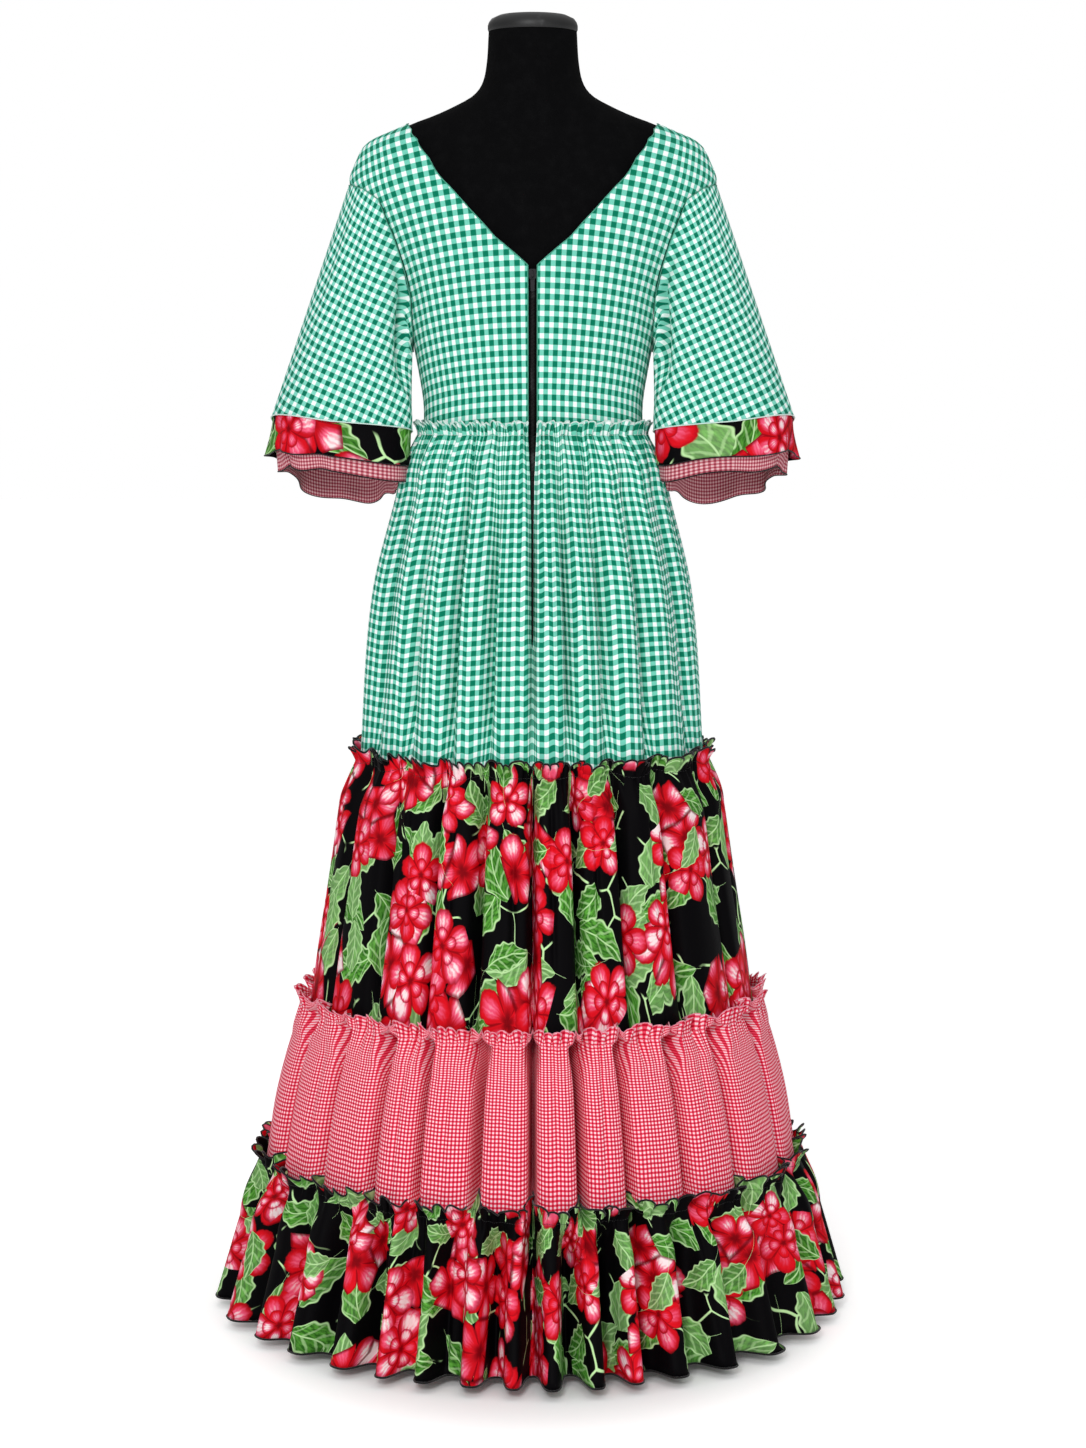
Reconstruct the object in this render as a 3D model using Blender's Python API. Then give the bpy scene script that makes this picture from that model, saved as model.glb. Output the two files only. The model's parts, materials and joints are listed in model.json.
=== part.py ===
"""Flamenco dress on its black dress form: metres, +Z up, the dress's back (with the zip) faces -Y.

The origin is the middle of the stand's underside. Every cloth wall is built as rings or sections of
its outer surface, extruded from row to row, and then extruded inwards by the cloth's thickness.
"""

import math
from collections import namedtuple

import bmesh
import bpy
from mathutils import Vector
from mathutils.kdtree import KDTree

# Cloth and seams
WALL = 0.0012                 # thickness of the dress cloth
SEAM_GAP = 0.0003             # space between two pieces at a seam
LAYER = 0.0019                # outer face of one cloth to the outer face of the cloth over it
SEAM_SLACK = 0.5 * SEAM_GAP
SEAM_REACH = 0.0005           # panel edges this near to each other share a seam
SMOOTH_ANGLE = 50.0           # degrees; sharper edges than this are shaded as edges

# Skirt: every tier is cut as four panels
GATHERED_FOLDS = 20           # folds round the green tier and round the floral tier
PINK_FOLDS = 24
HEM_FOLDS = 36
COLUMNS = 120                 # points round a tier; the hem flounce has twice as many
ZIP_FLAT = 0.02               # turns each side of the zip without folds
ZIP_FADE = 0.05               # turns over which the folds then reach their full depth
VALLEY_NARROWNESS = 3         # how much narrower the valleys between the gathers are than the crests
PANELS = ("back_right", "front_right", "front_left", "back_left")

# Centre back opening
ZIP_TOP = 1.2225
ZIP_END = 0.800
ZIP_TAPE_HALF = 0.0115
ZIP_TAPE_WALL = 0.0009
TAPE_ROWS_BODICE = (ZIP_TOP, 1.195, 1.150, 1.100, 1.060, 1.034, 1.018)
TAPE_ROWS_SKIRT = (0.975, 0.920, 0.860, ZIP_END + 0.002)
ZIP_TAPE_SAG = 0.0009         # the tape's sides follow the back's roundness by this much
SLIDER_HALF_WIDTH = 0.0040
SLIDER_HALF_HEIGHT = 0.0055
SLIDER_DEPTH = 0.0026
SLIDER_CORNER = 0.0016
SLIDER_Z = ZIP_TOP - 0.0065
BAIL_HALF_WIDTH = 0.0008
BAIL_WALL = 0.0010
BAIL_REACH = 0.0030           # how far the bail stands off the slider's face
BAIL_ROOT = 0.0006            # how far its two feet are sunk into that face
WINDOW_HALF_HEIGHT = 0.0030   # the window under the bail
WINDOW_DEPTH = 0.0019
PULL_THICK = 0.0010
PULL_HALF_WIDTH = 0.0023
PULL_CORNER = 0.0013
PULL_BAR = 0.0011             # the bar at the pull's top end, under the bail
PULL_EYE_EASE = 0.0005        # space between the bail and each leg of the eye
PULL_EYE_LENGTH = 0.0065
PULL_LENGTH = 0.0200

# Sleeves
SLEEVE_COLUMNS = 30
RUFFLE_WAVES = 6
ARMHOLE_EASE = 0.0014         # the sleeve's first ring stands this far outside the bodice's edge

# Dress form and stand
FORM_COLUMNS = 24
POLE_RADIUS = 0.0125
BASE_RADIUS = 0.170
BASE_COLUMNS = 28
BASE_TOP = 0.006
BASE_BEVEL = 0.002
HUB_RADIUS = 0.026
HUB_FLARE = 0.012
HUB_TOP = 0.052

Section = namedtuple("Section", "z half_width back front")
Ring = namedtuple("Ring", "z half_width back front fold")
Tier = namedtuple("Tier", "heading stitch rings")
Wobble = namedtuple("Wobble", "size times start")
Edge = namedtuple("Edge", "across z")
Ruffle = namedtuple("Ruffle", "cloth slot length flare wave start")
Turned = namedtuple("Turned", "radius z")

# The padded dress form, from the flat underside at the hips to the top of the neck
FORM = [
    Section(0.800, 0.1500, 0.1080, 0.0980),
    Section(0.860, 0.1590, 0.1180, 0.1020),
    Section(0.920, 0.1520, 0.1100, 0.0960),
    Section(0.975, 0.1390, 0.0980, 0.0880),
    Section(1.015, 0.1315, 0.0915, 0.0850),
    Section(1.034, 0.1305, 0.0900, 0.0850),
    Section(1.070, 0.1308, 0.0905, 0.0890),
    Section(1.115, 0.1345, 0.0930, 0.0990),
    Section(1.160, 0.1388, 0.0955, 0.1120),
    Section(1.195, 0.1440, 0.0968, 0.1178),
    Section(1.240, 0.1560, 0.0970, 0.1110),
    Section(1.280, 0.1730, 0.0955, 0.0980),
    Section(1.315, 0.1830, 0.0870, 0.0775),
    Section(1.342, 0.1855, 0.0775, 0.0620),
    Section(1.360, 0.1825, 0.0700, 0.0540),
    Section(1.3715, 0.1740, 0.0645, 0.0500),
    Section(1.3810, 0.1600, 0.0605, 0.0480),
    Section(1.3908, 0.1425, 0.0588, 0.0480),
    Section(1.4010, 0.1150, 0.0578, 0.0485),
    Section(1.4105, 0.0935, 0.0572, 0.0495),
    Section(1.423, 0.0705, 0.0565, 0.0505),
    Section(1.437, 0.0590, 0.0550, 0.0510),
    Section(1.460, 0.0535, 0.0530, 0.0510),
    Section(1.4965, 0.0510, 0.0505, 0.0505),
]

# The neck's cap, and the stand's round foot with its hub, as turned profiles from the bottom up
NECK_CAP = [
    Turned(0.0510, 1.4968),
    Turned(0.0520, 1.4990),
    Turned(0.0520, 1.5035),
    Turned(0.0490, 1.5110),
    Turned(0.0400, 1.5155),
]
CROWN_Z = 1.5170
BASE = [
    Turned(BASE_RADIUS - 0.5 * BASE_BEVEL, 0.0),
    Turned(BASE_RADIUS, 0.5 * BASE_BEVEL),
    Turned(BASE_RADIUS, BASE_TOP - BASE_BEVEL),
    Turned(BASE_RADIUS - BASE_BEVEL, BASE_TOP),
    Turned(HUB_RADIUS + HUB_FLARE, BASE_TOP + 0.5 * BASE_BEVEL),
    Turned(HUB_RADIUS, BASE_TOP + HUB_FLARE),
    Turned(HUB_RADIUS, HUB_TOP),
]

# The bodice's outer surface, which runs past the form's shoulder as a dropped shoulder
BODICE = [
    Section(1.022, 0.1350, 0.0950, 0.0890),
    Section(1.034, 0.1345, 0.0945, 0.0888),
    Section(1.070, 0.1346, 0.0950, 0.0930),
    Section(1.115, 0.1394, 0.0982, 0.1042),
    Section(1.160, 0.1440, 0.1012, 0.1182),
    Section(1.195, 0.1500, 0.1025, 0.1242),
    Section(1.226, 0.1590, 0.1030, 0.1212),
    Section(1.260, 0.1740, 0.1018, 0.1110),
    Section(1.290, 0.1920, 0.0988, 0.0985),
    Section(1.315, 0.2090, 0.0938, 0.0850),
    Section(1.328, 0.2130, 0.0905, 0.0780),
    Section(1.351, 0.2045, 0.0812, 0.0655),
    Section(1.365, 0.1970, 0.0745, 0.0590),
    Section(1.374, 0.1860, 0.0700, 0.0560),
    Section(1.383, 0.1660, 0.0660, 0.0540),
    Section(1.3925, 0.1440, 0.0635, 0.0530),
]

# Neckline edge as distance from the centre line, and height; the last row is the shoulder point
BACK_NECK = [
    Edge(0.0053, 1.226),
    Edge(0.0430, 1.258),
    Edge(0.0720, 1.290),
    Edge(0.0940, 1.315),
    Edge(0.1180, 1.348),
    Edge(0.1320, 1.371),
    Edge(0.1390, 1.383),
    Edge(0.1425, 1.3885),
]
FRONT_NECK = [
    Edge(0.0000, 1.250),
    Edge(0.0420, 1.262),
    Edge(0.0740, 1.288),
    Edge(0.0960, 1.314),
    Edge(0.1180, 1.346),
    Edge(0.1320, 1.371),
    Edge(0.1390, 1.383),
    Edge(0.1425, 1.3885),
]
SHOULDER_POINT_Z = 1.3925
SHOULDER_END_Z = 1.322
CENTRE_ROWS = (1.022, 1.070, 1.120, 1.165, 1.205)
SIDE_ROWS = (1.022, 1.070, 1.105)

# Armhole edge as degrees round from the centre back (or centre front), and height
ARMHOLE = [
    Edge(90.0, 1.130),
    Edge(76.0, 1.148),
    Edge(70.0, 1.190),
    Edge(68.0, 1.235),
    Edge(64.5, 1.277),
    Edge(61.0, 1.303),
    Edge(68.0, 1.316),
    Edge(78.0, 1.3205),
]
BODICE_COLUMNS = 6

# Half the width of the centre back opening over the zip
ZIP_OPENING = [
    Edge(0.0008, ZIP_END),
    Edge(0.0012, 0.930),
    Edge(0.0026, 0.985),
    Edge(0.0050, 1.034),
    Edge(0.0053, 1.060),
]

# The four gathered tiers: heights of the ruffled heading's edge and of its stitch line, which both lie
# over the cloth above, and then the tier's own rings
TOP_TIER = Tier(1.047, 1.034, [
    Ring(0.975, 0.1530, 0.1170, 0.1100, 0.0030),
    Ring(0.850, 0.1810, 0.1590, 0.1520, 0.0055),
    Ring(0.662, 0.2000, 0.1930, 0.1880, 0.0040),
])
FLORAL_TIER = Tier(0.678, 0.664, [
    Ring(0.600, 0.2215, 0.2150, 0.2080, 0.0070),
    Ring(0.490, 0.2350, 0.2290, 0.2210, 0.0100),
    Ring(0.3795, 0.2558, 0.2478, 0.2398, 0.0085),
])
PINK_TIER = Tier(0.394, 0.380, [
    Ring(0.335, 0.2690, 0.2640, 0.2540, 0.0145),
    Ring(0.255, 0.2870, 0.2820, 0.2710, 0.0175),
    Ring(0.1945, 0.3018, 0.2968, 0.2848, 0.0150),
])
HEM_TIER = Tier(0.207, 0.195, [
    Ring(0.110, 0.3330, 0.3350, 0.3150, 0.0150),
    Ring(0.012, 0.3570, 0.3720, 0.3420, 0.0195),
])

# The folds' unevenness round the body: each adds size * sin(times a turn, from its start)
FOLD_SPACING = [
    Wobble(-0.150, 2, 0.0),   # closer at the centre back and centre front, wider at the sides
    Wobble(0.020, 5, 0.8),
    Wobble(0.011, 9, 2.1),
    Wobble(0.007, 13, 4.0),
]
FOLD_DEPTH = [Wobble(0.22, 3, 1.1), Wobble(0.16, 8, 0.3)]
HEM_BEND = [Wobble(0.8, 4, 0.5), Wobble(0.5, 8, 2.0)]
HEADING_LEAN = 0.0034         # how far a heading's top edge leans out past its stitch line

# Sleeve cuff: the ring round the arm where the sleeve's cloth ends
CUFF_CENTRE = Vector((0.2330, 0.0050, 1.0500))
CUFF_HALF = (0.0735, 0.0700)
CUFF_RISE_OUTWARDS = 0.147
CUFF_FRONT_DROP = 0.035
SLEEVE_BULGE = 0.009
SLEEVE_ROWS = (0.0, 0.18, 0.42, 0.70, 1.0)
SLEEVE_AXIS_TOP = (0.180, 1.250)     # x and z of the line that the right sleeve hangs round
SLEEVE_AXIS_END_Z = 0.98
RUFFLE_TOP = 0.955            # the ruffles are sewn in this far down the sleeve
RUFFLE_INNER_WAVE = 0.25      # share of its wave that a cuff ruffle has next to the body
RUFFLES = [
    Ruffle("floral", "floral", 0.042, 0.0035, 0.0045, 0.4),
    Ruffle("pink", "pink_gingham", 0.060, -0.0110, 0.0045, 0.4),
]

COLOURS = {
    "green_gingham": (0.28, 0.66, 0.55),
    "pink_gingham": (0.85, 0.25, 0.33),
    "floral": (0.10, 0.02, 0.02),
    "form_black": (0.008, 0.008, 0.008),
    "cap_black": (0.010, 0.010, 0.010),
    "stand_black": (0.012, 0.012, 0.013),
    "zip_black": (0.010, 0.010, 0.010),
    "zip_metal": (0.08, 0.08, 0.085),
}


# Materials and objects

def material(slot, roughness=0.85, metallic=0.0):
    """One Principled material for each kind of cloth or metal, shared by its pieces."""
    found = bpy.data.materials.get(slot)
    if found is not None:
        return found
    made = bpy.data.materials.new(slot)
    made.use_nodes = True
    shader = made.node_tree.nodes["Principled BSDF"]
    shader.inputs["Base Color"].default_value = (*COLOURS[slot], 1.0)
    shader.inputs["Roughness"].default_value = roughness
    shader.inputs["Metallic"].default_value = metallic
    return made


def add_object(name, mesh_builder, slot, parent, **finish):
    """A named object from a bmesh, with its material, hung on the stand's empty."""
    mesh = bpy.data.meshes.new(name)
    mesh_builder.to_mesh(mesh)
    mesh_builder.free()
    mesh.shade_smooth()
    mesh.set_sharp_from_angle(angle=math.radians(SMOOTH_ANGLE))
    made = bpy.data.objects.new(name, mesh)
    made.data.materials.append(material(slot, **finish))
    made.parent = parent
    bpy.context.scene.collection.objects.link(made)
    return made


def extrude_rows(rows, closed, flip):
    """A bmesh sheet: the first row's edges are extruded, and each new row is put on its own points."""
    sheet = bmesh.new()
    verts = [sheet.verts.new(point) for point in rows[0]]
    pairs = list(zip(verts, verts[1:]))
    if closed:
        pairs.append((verts[-1], verts[0]))
    edges = [sheet.edges.new(pair) for pair in pairs]
    for row in rows[1:]:
        grown = bmesh.ops.extrude_edge_only(sheet, edges=edges)["geom"]
        new_verts = {item for item in grown if isinstance(item, bmesh.types.BMVert)}
        lifted = []
        for vert in verts:
            above = next(e.other_vert(vert) for e in vert.link_edges if e.other_vert(vert) in new_verts)
            lifted.append(above)
        for vert, point in zip(lifted, row):
            vert.co = point
        kept = set(lifted)
        edges = [
            item
            for item in grown
            if isinstance(item, bmesh.types.BMEdge) and item.verts[0] in kept and item.verts[1] in kept
        ]
        verts = lifted
    sheet.normal_update()
    bmesh.ops.recalc_face_normals(sheet, faces=sheet.faces)
    if flip(sheet):
        bmesh.ops.reverse_faces(sheet, faces=sheet.faces)
    return sheet


def faces_inwards(centre_of):
    """Says whether a sheet's faces look towards its own axis, given a point of the axis for each face."""

    def looks_in(sheet):
        total = 0.0
        for face in sheet.faces:
            middle = face.calc_center_median()
            outwards = middle - centre_of(middle)
            total += face.normal.dot(outwards.normalized()) * face.calc_area()
        return total < 0

    return looks_in


body_faces = faces_inwards(lambda point: Vector((0.0, 0.0, point.z)))


def sewn_directions(sheets):
    """A tree of a garment's points and its outward direction at each, with its panels sewn together."""
    whole = bmesh.new()
    for sheet in sheets:
        panel = bpy.data.meshes.new("pattern_piece")
        sheet.to_mesh(panel)
        whole.from_mesh(panel)
        bpy.data.meshes.remove(panel)
    bmesh.ops.remove_doubles(whole, verts=whole.verts, dist=SEAM_REACH)
    whole.normal_update()
    tree = KDTree(len(whole.verts))
    directions = []
    for index, vert in enumerate(whole.verts):
        tree.insert(vert.co, index)
        directions.append(vert.normal.copy())
    tree.balance()
    whole.free()
    return tree, directions


def thicken(sheet, sewn, wall):
    """Extrudes an open sheet inwards into a closed wall; both sides of a seam go the same way."""
    tree, directions = sewn
    inwards = sheet.verts.layers.float_vector.new("inwards")
    for vert in sheet.verts:
        vert[inwards] = -wall * directions[tree.find(vert.co)[1]]
    grown = bmesh.ops.extrude_face_region(sheet, geom=list(sheet.faces))["geom"]
    for item in grown:
        if isinstance(item, bmesh.types.BMVert):
            item.co += item[inwards]
    sheet.verts.layers.float_vector.remove(inwards)
    bmesh.ops.recalc_face_normals(sheet, faces=sheet.faces)
    return sheet


# Reading the tables

def between(rows, z):
    """The table's values at a height, on a smooth curve through its rows."""
    rows = sorted(rows)
    z = min(max(z, rows[0].z), rows[-1].z)
    i = max(k for k in range(len(rows) - 1) if rows[k].z <= z)
    low, high = rows[i], rows[i + 1]
    before, after = rows[max(i - 1, 0)], rows[min(i + 2, len(rows) - 1)]
    span = high.z - low.z
    share = (z - low.z) / span
    values = []
    for a, b, c, d in zip(before[1:], low[1:], high[1:], after[1:]):
        slope_low = (c - a) / (high.z - before.z) * span
        slope_high = (d - b) / (after.z - low.z) * span
        values.append(
            (2 * share**3 - 3 * share**2 + 1) * b
            + (share**3 - 2 * share**2 + share) * slope_low
            + (3 * share**2 - 2 * share**3) * c
            + (share**3 - share**2) * slope_high
        )
    return values


def on_section(values, angle):
    """(x, y) on a section; the angle runs from the centre back towards +X."""
    half_width, back, front = values[:3]
    depth = back if math.cos(angle) > 0 else front
    return half_width * math.sin(angle), -depth * math.cos(angle)


def body_point(table, angle, z):
    return Vector((*on_section(between(table, z), angle), z))


# Dress form and stand

def round_row(turned, count):
    """A circle of points round the Z axis."""
    angles = [math.tau * k / count for k in range(count)]
    return [Vector((turned.radius * math.sin(a), -turned.radius * math.cos(a), turned.z)) for a in angles]


def build_form(stand):
    rows = []
    for section in FORM:
        angles = [math.tau * k / FORM_COLUMNS for k in range(FORM_COLUMNS)]
        rows.append([body_point(FORM, angle, section.z) for angle in angles])
    form = extrude_rows(rows, True, body_faces)
    open_edges = [edge for edge in form.edges if edge.is_boundary]
    bmesh.ops.holes_fill(form, edges=open_edges)
    bmesh.ops.recalc_face_normals(form, faces=form.faces)
    add_object("form_body", form, "form_black", stand)


def build_neck_cap(stand):
    """The round cap on the neck: a short drum with a softly domed top."""
    cap = extrude_rows([round_row(turned, FORM_COLUMNS) for turned in NECK_CAP], True, body_faces)
    middle = 0.5 * (NECK_CAP[0].z + NECK_CAP[-1].z)
    top = [edge for edge in cap.edges if edge.is_boundary and edge.verts[0].co.z > middle]
    bottom = [edge for edge in cap.edges if edge.is_boundary and edge.verts[0].co.z < middle]
    bmesh.ops.holes_fill(cap, edges=bottom)
    dome = bmesh.ops.extrude_edge_only(cap, edges=top)["geom"]
    rim = [item for item in dome if isinstance(item, bmesh.types.BMVert)]
    bmesh.ops.pointmerge(cap, verts=rim, merge_co=Vector((0.0, 0.0, CROWN_Z)))
    bmesh.ops.recalc_face_normals(cap, faces=cap.faces)
    add_object("neck_cap", cap, "cap_black", stand, roughness=0.5)


def build_stand(stand):
    """A steel pole on a heavy round foot, hidden by the skirt."""
    pole = bmesh.new()
    bottom, top = HUB_TOP + SEAM_GAP, FORM[0].z - SEAM_GAP
    bmesh.ops.create_cone(
        pole, cap_ends=True, segments=20, radius1=POLE_RADIUS, radius2=POLE_RADIUS, depth=top - bottom
    )
    made = add_object("stand_pole", pole, "stand_black", stand, roughness=0.35)
    made.location.z = 0.5 * (top + bottom)
    base = extrude_rows([round_row(turned, BASE_COLUMNS) for turned in BASE], True, body_faces)
    bmesh.ops.holes_fill(base, edges=[edge for edge in base.edges if edge.is_boundary])
    bmesh.ops.recalc_face_normals(base, faces=base.faces)
    add_object("stand_base", base, "stand_black", stand, roughness=0.4)


# Bodice

def armhole_edge(up):
    """(angle from the centre line, height) on the armhole, from the armpit at 0 to the shoulder at 1."""
    rows = [*ARMHOLE, Edge(90.0, SHOULDER_END_Z)]
    place = up * (len(rows) - 1)
    i = min(int(place), len(rows) - 2)
    share = place - i
    angle = rows[i].across + share * (rows[i + 1].across - rows[i].across)
    z = rows[i].z + share * (rows[i + 1].z - rows[i].z)
    return math.radians(angle), z


def bodice_rows(neck, centre_half):
    """(inner angle, inner height, outer angle, outer height) of each row of half a bodice."""

    def angle_at(across, z):
        return math.asin(min(1.0, across / between(BODICE, z)[0]))

    inner = [(angle_at(centre_half, z), z) for z in CENTRE_ROWS]
    inner += [(angle_at(edge.across, edge.z), edge.z) for edge in neck]
    inner.append((0.5 * math.pi, SHOULDER_POINT_Z))
    outer = [(0.5 * math.pi, z) for z in SIDE_ROWS]
    steps = len(inner) - len(outer) - 1
    outer += [armhole_edge(k / steps) for k in range(steps + 1)]
    return [(*a, *b) for a, b in zip(inner, outer)]


def bodice_half(neck, centre_half, side, front):
    """Rows of points over half the back or half the front, from the centre line to the side seam."""
    rows = []
    for angle_in, z_in, angle_out, z_out in bodice_rows(neck, centre_half):
        row = []
        for k in range(BODICE_COLUMNS + 1):
            share = k / BODICE_COLUMNS
            angle = angle_in + share * (angle_out - angle_in)
            z = z_in + share * (z_out - z_in)
            angle = math.pi - angle if front else angle
            point = body_point(BODICE, side * angle, z)
            if abs(point.y) < SEAM_SLACK:
                point.y = SEAM_SLACK if front else -SEAM_SLACK
            if abs(point.x) < SEAM_SLACK:
                point.x = 0.0
            row.append(point)
        rows.append(row)
    return rows


def front_sheet(left, right):
    """The front bodice as one sheet: its two halves meet at the centre line up to the neckline."""
    halves = bmesh.new()
    for rows in (left, right):
        half = extrude_rows(rows, False, body_faces)
        mesh = bpy.data.meshes.new("half")
        half.to_mesh(mesh)
        half.free()
        halves.from_mesh(mesh)
        bpy.data.meshes.remove(mesh)
    centre = [vert for vert in halves.verts if abs(vert.co.x) < SEAM_GAP]
    bmesh.ops.remove_doubles(halves, verts=centre, dist=SEAM_REACH)
    return halves


def build_bodice(stand):
    panels = {}
    for name, side in (("bodice_back_right", 1), ("bodice_back_left", -1)):
        rows = bodice_half(BACK_NECK, BACK_NECK[0].across, side, False)
        panels[name] = extrude_rows(rows, False, body_faces)
    left = bodice_half(FRONT_NECK, 0.0, -1, True)
    right = bodice_half(FRONT_NECK, 0.0, 1, True)
    panels["bodice_front"] = front_sheet(left, right)
    sewn = sewn_directions(panels.values())
    for name, panel in panels.items():
        add_object(name, thicken(panel, sewn, WALL), "green_gingham", stand)


# Sleeves and cuff ruffles

def armhole_point(turn, side):
    """A point of the sleeve's first ring; turn 0 is the shoulder, 0.25 the back, 0.5 the armpit."""
    angle, z = armhole_edge(abs(1.0 - 2.0 * turn))
    angle = math.pi - angle if turn > 0.5 else angle
    point = body_point(BODICE, angle, z)
    return Vector((side * (point.x + ARMHOLE_EASE), point.y, point.z))


def cuff_point(turn, side):
    """A point of the ring where the sleeve's cloth ends; turn 0 is its outer side."""
    angle = math.tau * turn
    x = CUFF_HALF[0] * math.cos(angle)
    y = -CUFF_HALF[1] * math.sin(angle)
    frontness = 0.5 * (1.0 - math.sin(angle))
    z = CUFF_CENTRE.z + CUFF_RISE_OUTWARDS * x - CUFF_FRONT_DROP * frontness**2
    return Vector((side * (CUFF_CENTRE.x + x), CUFF_CENTRE.y + y, z))


def sleeve_ring(down, side):
    """A ring of the sleeve: down is 0 at the armhole and 1 at the cuff."""
    ring = []
    for k in range(SLEEVE_COLUMNS):
        turn = k / SLEEVE_COLUMNS
        point = armhole_point(turn, side).lerp(cuff_point(turn, side), down)
        point.y -= SLEEVE_BULGE * math.sin(math.pi * min(down, 1.0)) * math.sin(math.tau * turn)
        ring.append(point)
    return ring


def ruffle_ring(side, inset, ruffle):
    """The lower edge of a cuff ruffle: it hangs down from the cuff, waved, and flares on its outer side."""
    cuff = moved_out(sleeve_ring(1.0, side), side * inset)
    centre = Vector((side * CUFF_CENTRE.x, CUFF_CENTRE.y, 0.0))
    ring = []
    for k, point in enumerate(cuff):
        angle = math.tau * k / SLEEVE_COLUMNS
        away = Vector((point.x, point.y, 0.0)) - centre
        outer = 0.5 * (1.0 + math.cos(angle))
        wave = ruffle.wave * math.cos(RUFFLE_WAVES * angle + ruffle.start)
        reach = ruffle.flare * outer + wave * (RUFFLE_INNER_WAVE + (1.0 - RUFFLE_INNER_WAVE) * outer)
        ring.append(point + reach * away.normalized() - Vector((0.0, 0.0, ruffle.length)))
    return ring


def sleeve_faces(side):
    """The sleeve's axis runs from the shoulder to the cuff's centre."""
    top = Vector((side * SLEEVE_AXIS_TOP[0], 0.0, SLEEVE_AXIS_TOP[1]))
    bottom = Vector((side * CUFF_CENTRE.x, CUFF_CENTRE.y, SLEEVE_AXIS_END_Z))
    line = bottom - top

    def axis_point(point):
        share = max(0.0, min(1.0, (point - top).dot(line) / line.length_squared))
        return top + share * line

    return faces_inwards(axis_point)


def add_tube(stand, name, rows, side, slot):
    tube = extrude_rows(rows, True, sleeve_faces(side))
    add_object(name, thicken(tube, sewn_directions([tube]), WALL), slot, stand)


def build_sleeves(stand):
    """Each sleeve, and its two ruffles sewn inside the cuff, the pink one inside the floral one."""
    for name, side in (("right", 1), ("left", -1)):
        rows = [sleeve_ring(down, side) for down in SLEEVE_ROWS]
        add_tube(stand, f"sleeve_{name}", rows, side, "green_gingham")
        for layer, ruffle in enumerate(RUFFLES):
            inset = (layer + 1) * LAYER
            rows = [
                moved_out(sleeve_ring(RUFFLE_TOP, side), side * inset),
                moved_out(sleeve_ring(1.0, side), side * inset),
                ruffle_ring(side, inset, ruffle),
            ]
            add_tube(stand, f"cuff_{ruffle.cloth}_{name}", rows, side, ruffle.slot)


# Skirt tiers

def wobbling(wobbles, turn):
    return sum(w.size * math.sin(math.tau * w.times * turn + w.start) for w in wobbles)


def uneven(turn):
    """The folds' angle round the body, a little closer here and wider there; it is 0 at the centre back."""
    return math.tau * turn + wobbling(FOLD_SPACING, turn) - wobbling(FOLD_SPACING, 0.0)


def fold_depths(turn):
    """How deep the folds are here, about 1 all round."""
    return 1.0 + wobbling(FOLD_DEPTH, turn)


def gathers(turn):
    """From -1 in a narrow valley to 1 on a broad crest; the four seams lie in valleys."""
    return 1.0 - 2.0 * abs(math.cos(math.pi * GATHERED_FOLDS * turn)) ** VALLEY_NARROWNESS


def pillows(turn):
    """The pink tier's fewer, fuller folds."""
    return 1.0 - 2.0 * abs(math.cos(math.pi * PINK_FOLDS * turn)) ** VALLEY_NARROWNESS


def flounce(turn):
    """The hem's own waves, from -1 to 1 and of uneven width, with a valley at each of the four seams."""
    bend = wobbling(HEM_BEND, turn) - wobbling(HEM_BEND, 0.0)
    return -math.cos(math.tau * HEM_FOLDS * turn + bend)


def ring_points(ring, count, wave):
    """The outer points of one ring; wave gives each fold's height at a turn."""
    points = []
    for k in range(count):
        turn = k / count
        angle = uneven(turn)
        x, y = on_section((ring.half_width, ring.back, ring.front), angle)
        out = Vector((x, y, 0.0)).normalized() * ring.fold * wave(turn) * fold_depths(turn)
        points.append(Vector((x, y, ring.z)) + out)
    return points


def at_height(rows, z):
    """The points of a finished tier's wall at a height, between its two nearest rows."""
    for upper, lower in zip(rows, rows[1:]):
        if upper[0].z >= z >= lower[0].z:
            share = (upper[0].z - z) / (upper[0].z - lower[0].z)
            return [a.lerp(b, share) for a, b in zip(upper, lower)]
    return rows[-1]


def doubled(points):
    """The same ring with the middle of each side added."""
    made = []
    for point, following in zip(points, points[1:] + points[:1]):
        made += [point, point.lerp(following, 0.5)]
    return made


def moved_out(points, distance):
    """A ring moved out square to its own sides, with mitred corners, so that the gap is even."""
    made = []
    for k, point in enumerate(points):
        before = point - points[k - 1]
        after = points[(k + 1) % len(points)] - point
        square_before = Vector((before.y, -before.x, 0.0)).normalized()
        square_after = Vector((after.y, -after.x, 0.0)).normalized()
        normal = (square_before + square_after).normalized()
        made.append(point + distance / normal.dot(square_after) * normal)
    return made


def tier_rows(tier, under, wave, count):
    """All rings of a tier; its heading and stitch line lie over the wall of the tier or bodice above."""
    over = []
    for z, lean in ((tier.heading, HEADING_LEAN), (tier.stitch, 0.0)):
        base = at_height(under, z)
        if len(base) < count:
            base = doubled(base)
        over.append([Vector((p.x, p.y, z)) for p in moved_out(base, LAYER + lean)])
    return over + [ring_points(ring, count, wave) for ring in tier.rings]


def waist_rows():
    """The bodice's two lowest rows as rings, so that the top tier can lie over its wall."""
    return [
        [body_point(BODICE, uneven(k / COLUMNS), z) for k in range(COLUMNS)]
        for z in (CENTRE_ROWS[1], CENTRE_ROWS[0])
    ]


def opening_half(z):
    """Half the width of the centre back opening at a height; it closes to a seam below the zip."""
    if z < ZIP_END:
        return SEAM_SLACK
    for low, high in zip(ZIP_OPENING, ZIP_OPENING[1:]):
        if z <= high.z:
            return low.across + (high.across - low.across) * (z - low.z) / (high.z - low.z)
    return ZIP_OPENING[-1].across


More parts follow.
